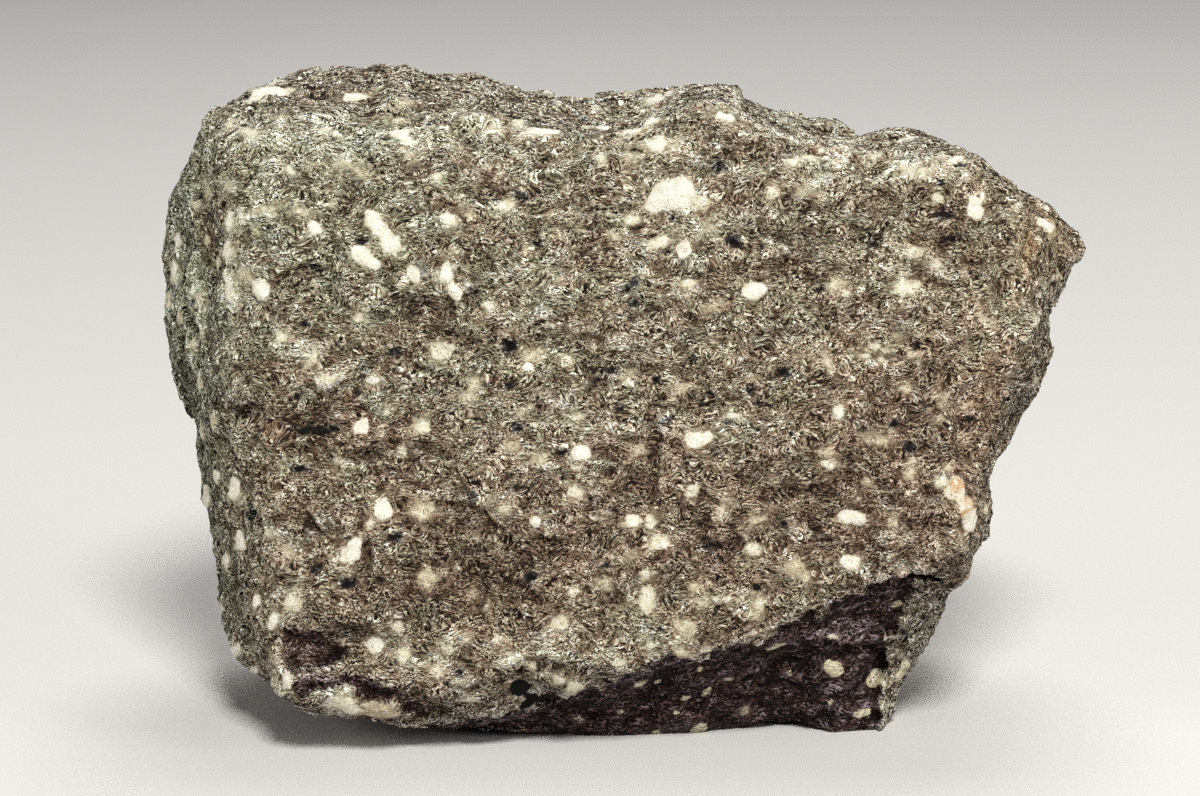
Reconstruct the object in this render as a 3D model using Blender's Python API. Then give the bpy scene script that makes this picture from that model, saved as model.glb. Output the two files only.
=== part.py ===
"""Mylonite hand specimen: one natural stone, standing on a small flat spot.

The stone is drawn in its own foliation frame, in millimetres: x to the right, depth away from the broad front
face, and height up along that face. The foliation runs parallel to the front face, so every surface of equal
depth follows it. The drawn stone is then leaned back and cut flat where it rests.
"""

import math
from dataclasses import dataclass

import bmesh
import bpy
from mathutils import Matrix, Vector, noise

MM = 0.001

# Driving sizes, in millimetres and degrees.
THICKNESS = 56.0
LEAN_BACK = math.radians(12.0)
REST_HEIGHT = -3.4
MIDDLE_HEIGHT = 44.0

# How far the back edge draws in towards the middle of the stone, as a share of the girdle's reach.
BACK_REACH_LEFT = 0.86
BACK_REACH_RIGHT = 0.84
BACK_REACH_TOP = 0.84
BACK_REACH_BOTTOM = 0.71
BACK_SWELL = 2.2

# The size of the even mesh cells that the drawn form is recast in, before the surface is broken up.
CELL = 2.85


@dataclass(frozen=True)
class Station:
    """One section through the stone's edge, from the rim of the front face out to the girdle.

    The girdle is where the stone reaches furthest out, at the given depth. The swell is how far the surface
    between rim and girdle bellies out; below zero it is hollow. A section that crosses a sharp ridge has a
    crest instead, a point of the ridge as x, depth and height.
    """

    rim: tuple[float, float]
    girdle: tuple[float, float]
    depth: float
    swell: float = 0.0
    crest: tuple[float, float, float] | None = None


# Clockwise from the top left spur, seen from the front.
TOP_EDGE = [
    Station((-53.0, 80.0), (-55.4, 81.6), 9.0, 0.5),
    Station((-49.5, 79.0), (-53.0, 83.6), 16.0, 0.8),
    Station((-45.0, 80.0), (-48.5, 87.8), 22.0, 1.0),
    Station((-38.5, 79.5), (-41.5, 90.0), 27.0, 1.2),
    Station((-31.5, 79.5), (-32.0, 91.0), 29.0, 1.5),
    Station((-24.5, 81.5), (-24.5, 89.5), 28.0, 1.5),
    Station((-18.0, 82.5), (-18.0, 88.5), 26.0, 1.0),
    Station((-12.5, 81.0), (-12.5, 86.0), 25.0, 0.0),
    Station((-8.0, 79.0), (-6.5, 86.5), 26.0, -0.8),
    Station((-3.5, 79.5), (-1.0, 86.5), 27.0, -2.0),
    Station((2.0, 79.0), (3.5, 87.0), 27.0, -2.2),
    Station((5.5, 81.5), (8.0, 87.0), 25.0, -1.5),
    Station((9.5, 83.5), (11.5, 87.0), 18.0, 0.5),
    Station((16.0, 81.5), (17.0, 86.0), 20.0, -0.3),
    Station((22.0, 79.0), (22.5, 84.0), 22.0, -1.0),
    Station((27.5, 77.0), (30.5, 83.5), 24.0, -1.6),
    Station((33.5, 76.5), (37.5, 80.0), 20.0, -0.8),
    Station((39.5, 77.0), (41.0, 79.9), 15.0, 0.3),
    Station((45.0, 74.5), (47.5, 75.9), 13.0, 0.3),
]
RIGHT_EDGE = [
    Station((50.0, 71.0), (52.7, 72.8), 13.0, 0.3),
    Station((51.8, 67.5), (58.4, 70.4), 14.0, 0.0),
    Station((52.6, 64.0), (62.4, 64.6), 15.0, -0.4),
    Station((53.2, 60.0), (60.6, 59.8), 15.0, -0.3),
    Station((54.0, 55.0), (58.0, 55.0), 14.0, 0.0),
    Station((54.0, 50.0), (57.6, 50.0), 14.0, 0.3),
    Station((51.0, 43.5), (55.5, 44.0), 16.0, 0.6),
    Station((47.0, 38.0), (50.5, 36.5), 13.0, 0.4),
    Station((46.5, 34.5), (49.5, 35.0), 11.0, 0.2),
    Station((46.5, 30.0), (50.2, 30.0), 12.0, 0.5),
    Station((44.0, 24.5), (48.3, 24.0), 12.0, 0.5),
    Station((40.5, 21.0), (45.0, 20.0), 13.0, 0.3),
    Station((37.5, 20.5), (43.5, 16.0), 19.0, crest=(38.5, 5.0, 17.5)),
    Station((34.0, 19.5), (42.0, 10.5), 23.0, crest=(36.5, 9.5, 13.5)),
    Station((30.5, 18.0), (38.2, 4.5), 21.0, crest=(34.8, 12.5, 8.5)),
]
UNDERCUT_EDGE = [
    Station((27.0, 17.0), (35.2, -3.8), 14.5, crest=(34.0, 13.0, 4.0)),
    Station((23.5, 15.5), (29.5, -3.2), 15.5, -1.2),
    Station((18.5, 13.5), (23.5, 1.2), 18.0, -1.4),
    Station((14.0, 12.5), (17.5, -0.6), 17.0, -1.4),
    Station((8.0, 11.0), (10.5, -2.8), 16.0, -1.2),
    Station((1.5, 9.0), (3.5, -3.2), 15.0, -1.0),
    Station((-5.0, 7.5), (-4.0, -2.8), 14.0, -0.8),
    Station((-13.0, 6.5), (-12.0, -1.2), 12.0, -0.5),
    Station((-21.0, 5.8), (-20.0, 0.0), 9.0, -0.3),
    Station((-27.5, 4.2), (-25.5, 0.7), 7.0, 0.0),
    Station((-33.5, 3.6), (-32.5, 1.2), 6.0, 0.0),
    Station((-39.5, 4.2), (-39.0, 3.0), 5.0, 0.3),
]
LEFT_EDGE = [
    Station((-42.6, 5.4), (-43.4, 3.8), 7.0, 0.3),
    Station((-44.0, 10.0), (-49.4, 6.8), 15.0, 0.6),
    Station((-44.5, 15.0), (-53.4, 11.6), 20.0, 1.0),
    Station((-45.0, 21.5), (-55.2, 19.3), 24.0, 1.2),
    Station((-46.5, 30.5), (-56.0, 30.5), 26.0, 1.5),
    Station((-47.5, 40.5), (-57.4, 40.0), 26.0, 1.5),
    Station((-49.5, 48.0), (-61.0, 48.5), 26.0, 1.2),
    Station((-50.0, 56.0), (-63.0, 57.5), 27.0, 1.0),
    Station((-50.0, 63.5), (-62.0, 64.5), 25.0, 1.0),
    Station((-51.0, 71.0), (-61.0, 72.5), 21.0, 1.0),
    Station((-53.0, 76.5), (-57.0, 78.0), 13.0, 0.5),
]
STATIONS = TOP_EDGE + RIGHT_EDGE + UNDERCUT_EDGE + LEFT_EDGE
STEPS_TO_GIRDLE = 4
STEPS_TO_BACK = 3


@dataclass(frozen=True)
class Dent:
    """A place where the surface is pushed in or out, deepest in its middle and ending at a crisp edge."""

    middle: tuple[float, float, float]
    radii: tuple[float, float, float]
    push: tuple[float, float, float]

    def shift(self, point):
        """Returns how far the dent moves a point of the surface."""
        reach = Vector((point[i] - self.middle[i]) / self.radii[i] for i in range(3))
        return Vector(self.push) * max(0.0, 1.0 - reach.length_squared)


DENTS = [
    # A dark grain has broken out of the lower edge of the front face.
    Dent((-12.3, 1.0, 6.3), (3.8, 7.0, 4.6), (0.0, 1.5, 0.4)),
    # Two flakes have come off above the pale grains of the lower left corner.
    Dent((-41.5, 0.5, 13.0), (6.0, 7.0, 5.0), (0.6, 2.2, 0.3)),
    Dent((-35.0, 0.5, 10.5), (6.5, 6.0, 4.6), (0.0, 1.7, 0.4)),
    # A shallow bowl on the top left shoulder.
    Dent((-35.0, 12.0, 85.0), (4.5, 8.0, 4.0), (0.0, 0.6, -1.5)),
    # The knob and the dip beside it, below the top left shoulder.
    Dent((-43.5, 0.0, 67.5), (6.0, 6.0, 4.5), (0.0, -1.2, 0.0)),
    Dent((-41.0, 0.0, 60.5), (5.0, 6.0, 4.0), (0.0, 1.1, 0.0)),
    # The scar across the right shoulder.
    Dent((53.0, 5.0, 62.0), (4.5, 9.0, 9.0), (-0.5, 0.8, 0.0)),
]

# The front face rolls back towards its top left, its left and its right edge.
SHOULDER_FROM_HEIGHT = 69.0
SHOULDER_UNTIL_X = -6.0
SHOULDER_ROLL = 2.4
RIGHT_ROLL_FROM_X = 43.0
RIGHT_ROLL = 1.8
LEFT_ROLL_FROM_X = -40.0
LEFT_ROLL = 1.1
ROLL_LENGTH = 10.0
FACE_REACH = 9.0

# The back split along the foliation at two levels, so a ledge crosses it.
LEDGE_HEIGHT = 4.0
LEDGE_LEVEL = 50.0
LEDGE_SLOPE = 0.32
LEDGE_WIDTH = 3.0
LEDGE_WANDER = 7.0
LEDGE_BEND = 26.0

# The back is crowned: it falls away from its middle towards its edges.
BACK_CROWN = 5.0
HALF_LENGTH = 60.0


def smooth_step(value):
    """Returns a soft ramp from 0 to 1."""
    share = min(1.0, max(0.0, value))
    return share * share * (3.0 - 2.0 * share)


def back_reach(x, height):
    """Returns how far the back edge reaches in this direction, as a share of the girdle's reach."""
    across = Vector((x, height - MIDDLE_HEIGHT)).normalized()
    side = BACK_REACH_RIGHT if across.x > 0 else BACK_REACH_LEFT
    end = BACK_REACH_TOP if across.y > 0 else BACK_REACH_BOTTOM
    return side * across.x**2 + end * across.y**2


def bowed(start, end, swell, steps):
    """Returns points from start towards end, without end, bowed out of the line between them by swell."""
    middle = Vector((0.0, THICKNESS / 2, MIDDLE_HEIGHT))
    along = (end - start).normalized()
    outward = (start + end) / 2 - middle
    outward -= along * outward.dot(along)
    outward.normalize()
    points = []
    for step in range(steps):
        share = step / steps
        bow = 4.0 * swell * share * (1.0 - share)
        points.append(start.lerp(end, share) + outward * bow)
    return points


def section(station):
    """Returns the points of one section, from the front rim round the girdle to the back edge."""
    rim = Vector((station.rim[0], 0.0, station.rim[1]))
    girdle = Vector((station.girdle[0], station.depth, station.girdle[1]))
    reach = back_reach(girdle.x, girdle.z)
    back_height = MIDDLE_HEIGHT + (girdle.z - MIDDLE_HEIGHT) * reach
    back = Vector((girdle.x * reach, THICKNESS, back_height))
    if station.crest:
        crest = Vector(station.crest)
        half_way = STEPS_TO_GIRDLE // 2
        to_girdle = bowed(rim, crest, 0.0, half_way) + bowed(crest, girdle, 0.0, half_way)
    else:
        to_girdle = bowed(rim, girdle, station.swell, STEPS_TO_GIRDLE)
    to_back = bowed(girdle, back, BACK_SWELL, STEPS_TO_BACK)
    return to_girdle + to_back + [back]


def drawn_form():
    """Returns a mesh of the sections joined into one closed body with a flat front and a flat back."""
    bm = bmesh.new()
    rings = [[bm.verts.new(point) for point in section(station)] for station in STATIONS]
    for ring, following in zip(rings, rings[1:] + rings[:1]):
        for level in range(len(ring) - 1):
            corners = (ring[level], ring[level + 1], following[level + 1], following[level])
            bm.faces.new(corners)
    bm.faces.new([ring[0] for ring in rings])
    bm.faces.new([ring[-1] for ring in rings])
    bmesh.ops.recalc_face_normals(bm, faces=bm.faces)
    bmesh.ops.triangulate(bm, faces=bm.faces)
    mesh = bpy.data.meshes.new("drawn_form")
    bm.to_mesh(mesh)
    bm.free()
    return mesh


def evenly_meshed(drawn):
    """Returns the drawn form recast in mesh cells of one size."""
    form = bpy.data.objects.new("drawn_form", drawn)
    bpy.context.scene.collection.objects.link(form)
    recast = form.modifiers.new("even_cells", "REMESH")
    recast.mode = "VOXEL"
    recast.voxel_size = CELL
    graph = bpy.context.evaluated_depsgraph_get()
    even = bpy.data.meshes.new_from_object(form.evaluated_get(graph))
    bpy.data.objects.remove(form)
    bpy.data.meshes.remove(drawn)
    return even


def face_shape(point):
    """Returns how far the broad forms of the front and back faces shift a point in depth."""
    near_front = math.exp(-point.y / FACE_REACH)
    near_back = math.exp((point.y - THICKNESS) / FACE_REACH)
    above = max(0.0, point.z - SHOULDER_FROM_HEIGHT) / ROLL_LENGTH
    right = max(0.0, point.x - RIGHT_ROLL_FROM_X) / ROLL_LENGTH
    left = max(0.0, LEFT_ROLL_FROM_X - point.x) / ROLL_LENGTH
    leftward = smooth_step((SHOULDER_UNTIL_X - point.x) / ROLL_LENGTH)
    front = SHOULDER_ROLL * above**2 * leftward + RIGHT_ROLL * right**2 + LEFT_ROLL * left**2
    wander = LEDGE_WANDER * noise.noise(Vector((point.x / LEDGE_BEND, 0.0, point.z / LEDGE_BEND)))
    ledge_line = point.z - LEDGE_LEVEL - LEDGE_SLOPE * point.x + wander
    back = -LEDGE_HEIGHT * smooth_step(ledge_line / LEDGE_WIDTH + 0.5)
    out = Vector((point.x / HALF_LENGTH, (point.z - MIDDLE_HEIGHT) / MIDDLE_HEIGHT))
    back -= BACK_CROWN * out.length_squared
    return front * near_front + back * near_back


# Lumps of the broken surface: their length along the foliation, their length across it, and their height on
# the foliation faces and on the faces that cut across it, all in millimetres.
SWELLS = (26.0, 15.0, 2.4, 0.6)
LUMPS = (12.0, 6.5, 1.3, 1.3)
NUBS = (6.5, 4.0, 0.8, 1.1)
APART = 5.1
NEVER_PUSHED_MORE = 2.4

# The stone is worn smooth towards its resting face, over this height.
QUIET_ABOVE_REST = 9.0


def height_above_rest(point):
    """Returns how far a point lies above the resting plane, measured square to it."""
    return point.z * math.cos(LEAN_BACK) - point.y * math.sin(LEAN_BACK) - REST_HEIGHT


def broken_relief(point, normal):
    """Returns how far the broken surface stands proud at a point."""
    height = 0.0
    faces_along = abs(normal.y)
    for number, (along, across, on_face, on_edge) in enumerate((SWELLS, LUMPS, NUBS)):
        place = Vector((point.x / along, point.y / across + APART * number, point.z / along))
        height += (on_face * faces_along + on_edge * (1.0 - faces_along)) * noise.noise(place)
    height *= smooth_step(height_above_rest(point) / QUIET_ABOVE_REST)
    return max(-NEVER_PUSHED_MORE, min(NEVER_PUSHED_MORE, height))


def shape_surface(bm):
    """Gives the even body its broad forms, its dents and its broken surface."""
    for vert in bm.verts:
        vert.co.y += face_shape(vert.co)
    for vert in bm.verts:
        vert.co += sum((dent.shift(vert.co) for dent in DENTS), Vector())
    bm.normal_update()
    pushes = [vert.normal * broken_relief(vert.co, vert.normal) for vert in bm.verts]
    for vert, push in zip(bm.verts, pushes):
        vert.co += push


# Points this near the resting plane are moved onto it before the cut, and corners of the resting face that lie
# this close together become one, so no sliver is left.
SNAP = 0.7
CORNER_MERGE = 0.4


def cut_resting_face(bm):
    """Leans the stone back and cuts it flat where it rests; the resting face then lies at height zero."""
    bmesh.ops.rotate(bm, verts=bm.verts, cent=(0.0, 0.0, 0.0), matrix=Matrix.Rotation(-LEAN_BACK, 3, "X"))
    bmesh.ops.translate(bm, verts=bm.verts, vec=(0.0, 0.0, -REST_HEIGHT))
    for vert in bm.verts:
        if abs(vert.co.z) < SNAP:
            vert.co.z = 0.0
    everything = list(bm.verts) + list(bm.edges) + list(bm.faces)
    bmesh.ops.bisect_plane(
        bm, geom=everything, dist=1e-5, plane_co=(0.0, 0.0, 0.0), plane_no=(0.0, 0.0, 1.0), clear_inner=True
    )
    corners = [vert for vert in bm.verts if vert.is_boundary]
    bmesh.ops.remove_doubles(bm, verts=corners, dist=CORNER_MERGE)
    rim = [edge for edge in bm.edges if edge.is_boundary]
    bmesh.ops.triangle_fill(bm, edges=rim, use_beauty=True, normal=(0.0, 0.0, -1.0))
    bmesh.ops.triangulate(bm, faces=bm.faces)
    bmesh.ops.recalc_face_normals(bm, faces=bm.faces)


def centre_over_rest(bm):
    """Moves the stone so that its box is centred on the origin, and turns millimetres into metres."""
    for axis in (0, 1):
        places = [vert.co[axis] for vert in bm.verts]
        middle = (min(places) + max(places)) / 2
        for vert in bm.verts:
            vert.co[axis] -= middle
    bmesh.ops.scale(bm, verts=bm.verts, vec=(MM, MM, MM))


def stone_material():
    """Returns the dry, unpolished grey-brown of a broken mylonite."""
    material = bpy.data.materials.new("mylonite_broken_surface")
    material.use_nodes = True
    shader = material.node_tree.nodes["Principled BSDF"]
    shader.inputs["Base Color"].default_value = (0.115, 0.092, 0.07, 1.0)
    shader.inputs["Roughness"].default_value = 0.8
    shader.inputs["Metallic"].default_value = 0.0
    return material


def make_stone():
    """Builds the stone and links it to the scene."""
    even = evenly_meshed(drawn_form())
    bm = bmesh.new()
    bm.from_mesh(even)
    bpy.data.meshes.remove(even)
    shape_surface(bm)
    cut_resting_face(bm)
    centre_over_rest(bm)
    mesh = bpy.data.meshes.new("stone")
    bm.to_mesh(mesh)
    bm.free()
    mesh.materials.append(stone_material())
    stone = bpy.data.objects.new("stone", mesh)
    bpy.context.scene.collection.objects.link(stone)
    return stone


for leftover in list(bpy.data.objects):
    bpy.data.objects.remove(leftover)
make_stone()
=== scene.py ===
"""Looks of the mylonite hand specimen: one broken stone with feldspar eyes, on a pale floor.

Lengths are in millimetres in the stone's own foliation frame (x to the right, depth away from the broad front
face, height up along it) until they are put into a mesh, which is in metres in the frame of the CAD.
"""

import sys

import logging
import math
import random
from collections.abc import Sequence
from dataclasses import dataclass
from enum import Enum

import bmesh
import bpy
import numpy as np
from mathutils import Matrix, Vector, noise
from mathutils.bvhtree import BVHTree

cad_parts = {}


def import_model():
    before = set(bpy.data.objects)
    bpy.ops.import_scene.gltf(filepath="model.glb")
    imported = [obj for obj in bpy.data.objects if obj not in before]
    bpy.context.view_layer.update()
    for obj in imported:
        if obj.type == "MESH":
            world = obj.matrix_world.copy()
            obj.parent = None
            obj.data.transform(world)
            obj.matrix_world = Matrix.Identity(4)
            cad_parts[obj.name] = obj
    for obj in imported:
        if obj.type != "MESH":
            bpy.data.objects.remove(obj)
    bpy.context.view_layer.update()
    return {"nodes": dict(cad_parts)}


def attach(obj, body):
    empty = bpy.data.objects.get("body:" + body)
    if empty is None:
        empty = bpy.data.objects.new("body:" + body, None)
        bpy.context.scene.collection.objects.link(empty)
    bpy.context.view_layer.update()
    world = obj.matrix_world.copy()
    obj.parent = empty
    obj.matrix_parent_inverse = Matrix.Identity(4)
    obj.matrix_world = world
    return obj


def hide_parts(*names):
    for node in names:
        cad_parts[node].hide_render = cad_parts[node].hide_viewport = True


LOG = logging.getLogger("mylonite")
MM = 0.001
TINY = 1e-9
# A vertex no higher than this, in metres, belongs to the resting face.
RESTING = 0.02 * MM
HALF = (0.5, 0.5, 0.5)

Source = bpy.types.NodeSocket | bpy.types.Node


class Work(Enum):
    """What the commonest nodes do: the type of each, and its settings."""

    PLUS = ("ShaderNodeMath", {"operation": "ADD"})
    LESS = ("ShaderNodeMath", {"operation": "SUBTRACT"})
    TIMES = ("ShaderNodeMath", {"operation": "MULTIPLY"})
    TIMES_PLUS = ("ShaderNodeMath", {"operation": "MULTIPLY_ADD"})
    SIZE = ("ShaderNodeMath", {"operation": "ABSOLUTE"})
    BELOW = ("ShaderNodeMath", {"operation": "LESS_THAN"})
    SPREAD = ("ShaderNodeMapRange", {})
    EASE = ("ShaderNodeMapRange", {"interpolation_type": "SMOOTHSTEP"})
    VECTOR_LESS = ("ShaderNodeVectorMath", {"operation": "SUBTRACT"})
    VECTOR_TIMES = ("ShaderNodeVectorMath", {"operation": "MULTIPLY"})
    VECTOR_TIMES_PLUS = ("ShaderNodeVectorMath", {"operation": "MULTIPLY_ADD"})
    BLEND = ("ShaderNodeMix", {"data_type": "RGBA"})
    TINT = ("ShaderNodeMix", {"data_type": "RGBA", "blend_type": "MULTIPLY"})


def linear(code: str) -> tuple[float, float, float, float]:
    """Turns an sRGB hex colour into the linear one that a shader takes.

    Args:
        code: The colour as "#rrggbb".

    Returns:
        The linear red, green, blue and an alpha of 1.
    """
    parts = [int(code[place : place + 2], 16) / 255 for place in (1, 3, 5)]
    lit = [part / 12.92 if part <= 0.04045 else ((part + 0.055) / 1.055) ** 2.4 for part in parts]
    return (lit[0], lit[1], lit[2], 1.0)


def add_node(
    tree: bpy.types.NodeTree,
    kind: Work | str,
    *values: object,
    named: dict[str | int, object] | None = None,
    **settings: object,
) -> bpy.types.Node:
    """Adds a node with its settings, and fills or links its inputs.

    Args:
        tree: The node tree that the node goes into.
        kind: The node's work, or its type name.
        *values: Numbers, colours, output sockets or nodes, whose first output counts, for the first inputs.
        named: The same for further inputs, by their name or number.
        **settings: Further properties of the node itself.

    Returns:
        The new node.
    """
    type_name, presets = kind.value if isinstance(kind, Work) else (kind, {})
    made = tree.nodes.new(type_name)
    for name, value in {**presets, **settings}.items():
        setattr(made, name, value)
    for key, value in [*enumerate(values), *(named or {}).items()]:
        if isinstance(value, bpy.types.Node):
            value = value.outputs[0]
        if isinstance(value, bpy.types.NodeSocket):
            tree.links.new(value, made.inputs[key])
        else:
            made.inputs[key].default_value = value
    return made


@dataclass(frozen=True)
class FoliationFrame:
    """The stone's own frame. The solid was leaned back out of it, raised and centred.

    Args:
        lean: How far the stone leans back, as an angle.
        centre_x: Where the middle of the solid lies in this frame, to the right.
        centre_y: The same along the level depth, after the lean.
        rest_height: The height of the resting face, after the lean.
    """

    lean: float = math.radians(12.0)
    centre_x: float = 0.195
    centre_y: float = 32.691
    rest_height: float = -3.4

    def turn(self) -> Matrix:
        """Returns the turn from the world back to the foliation frame."""
        return Matrix.Rotation(self.lean, 3, "X")

    def origin(self) -> Vector:
        """Returns where the world's origin lies in the foliation frame, in millimetres."""
        return self.turn() @ Vector((self.centre_x, self.centre_y, self.rest_height))

    def points(self, world: np.ndarray) -> np.ndarray:
        """Turns points in metres in the world into millimetres in the foliation frame."""
        return (world / MM) @ np.array(self.turn()).T + np.array(self.origin())

    def world_points(self, points: np.ndarray) -> np.ndarray:
        """Turns points in millimetres in the foliation frame into metres in the world."""
        return (points - np.array(self.origin())) @ np.array(self.turn()) * MM

    def world_vector(self, direction: Sequence[float]) -> Vector:
        """Turns one direction in the foliation frame into the world."""
        return self.turn().inverted() @ Vector(direction)


@dataclass(frozen=True)
class PhotoCamera:
    """A long lens square to the front face.

    Args:
        across: Where it stands to the right, in millimetres.
        away: How far it stands in front of the face, in millimetres.
        up: How high it stands, in millimetres.
        lens: Its focal length.
        sensor: The width of its sensor.
        clip: The nearest and the farthest that it sees, in metres.
    """

    across: float = -2.6
    away: float = 520.0
    up: float = 44.46
    lens: float = 120.0
    sensor: float = 36.0
    clip: tuple[float, float] = (0.01, 50.0)

    def place(self) -> Vector:
        """Returns where the camera stands, in the foliation frame."""
        return Vector((self.across, -self.away, self.up))

    def seen_at(self, points: np.ndarray) -> np.ndarray:
        """Finds where points show on the picture plane, which is the plane of the front face.

        Args:
            points: The points in the foliation frame.

        Returns:
            Their places to the right and up on the plane.
        """
        shrink = self.away / (self.away + points[:, 1])
        middle = np.array((self.across, self.up))
        return middle + (points[:, [0, 2]] - middle) * shrink[:, None]

    def build(self, foliation: FoliationFrame) -> bpy.types.Object:
        """Makes the camera and gives it to the scene.

        Args:
            foliation: The stone's foliation frame.

        Returns:
            The camera object.
        """
        data = bpy.data.cameras.new("photo_camera")
        data.lens = self.lens
        data.sensor_width = self.sensor
        data.clip_start, data.clip_end = self.clip
        camera = bpy.data.objects.new("photo_camera", data)
        camera.location = foliation.world_points(np.array([self.place()]))[0]
        look = foliation.world_vector((0.0, 1.0, 0.0))
        camera.rotation_euler = look.to_track_quat("-Z", "Y").to_euler()
        bpy.context.scene.collection.objects.link(camera)
        bpy.context.scene.camera = camera
        return camera


@dataclass(frozen=True)
class EyeLook:
    """How an eye or another large grain looks.

    Args:
        white: How white it is, from 0 to 1; black below 0.
        proud: How far it stands out of the matrix, in millimetres.
        feather: How far its edge blends into the matrix, in millimetres.
        stain: How much rust has crept into it, from 0 to 1.
        flats: How many flat sides it has.
        point: How rounded it is: 2 for an ellipse, less for pointed ends.
    """

    white: float
    proud: float
    feather: float
    stain: float = 0.0
    flats: int = 5
    point: float = 2.0


class GrainKind(Enum):
    """The kinds of large grain: feldspar eyes, and black mica."""

    BRIGHT = EyeLook(1.0, 0.22, 0.22)
    CLOUDY = EyeLook(0.72, 0.14, 0.4)
    FAINT = EyeLook(0.42, 0.04, 0.9, flats=3)
    CRISP = EyeLook(0.5, 0.3, 0.06)
    SLENDER = EyeLook(0.5, 0.25, 0.05, flats=0, point=1.4)
    RUSTY = EyeLook(0.8, 0.45, 0.12, 0.8)
    TAN = EyeLook(0.26, 0.4, 0.05, 0.2)
    BLACK = EyeLook(-1.0, -0.25, 0.12, flats=7)


@dataclass(frozen=True)
class Grain:
    """A grain seen from the front: its middle on the picture plane, its sizes there, and its turn.

    Args:
        across: Millimetres to the right on the plane of the front face.
        up: Millimetres up on that plane.
        length: Its size along its own axis.
        width: Its size square to that axis.
        turn: Degrees from level to its axis, anticlockwise.
        kind: What it looks like.
        deep: Its size along the depth, or none for a rounded grain.
    """

    across: float
    up: float
    length: float
    width: float
    turn: float = 0.0
    kind: GrainKind = GrainKind.CLOUDY
    deep: float | None = None


# Short names for the kinds, in the lists of grains given one by one.
B, C, F = GrainKind.BRIGHT, GrainKind.CLOUDY, GrainKind.FAINT
K, S, R = GrainKind.CRISP, GrainKind.SLENDER, GrainKind.RUSTY
T, D = GrainKind.TAN, GrainKind.BLACK

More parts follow.
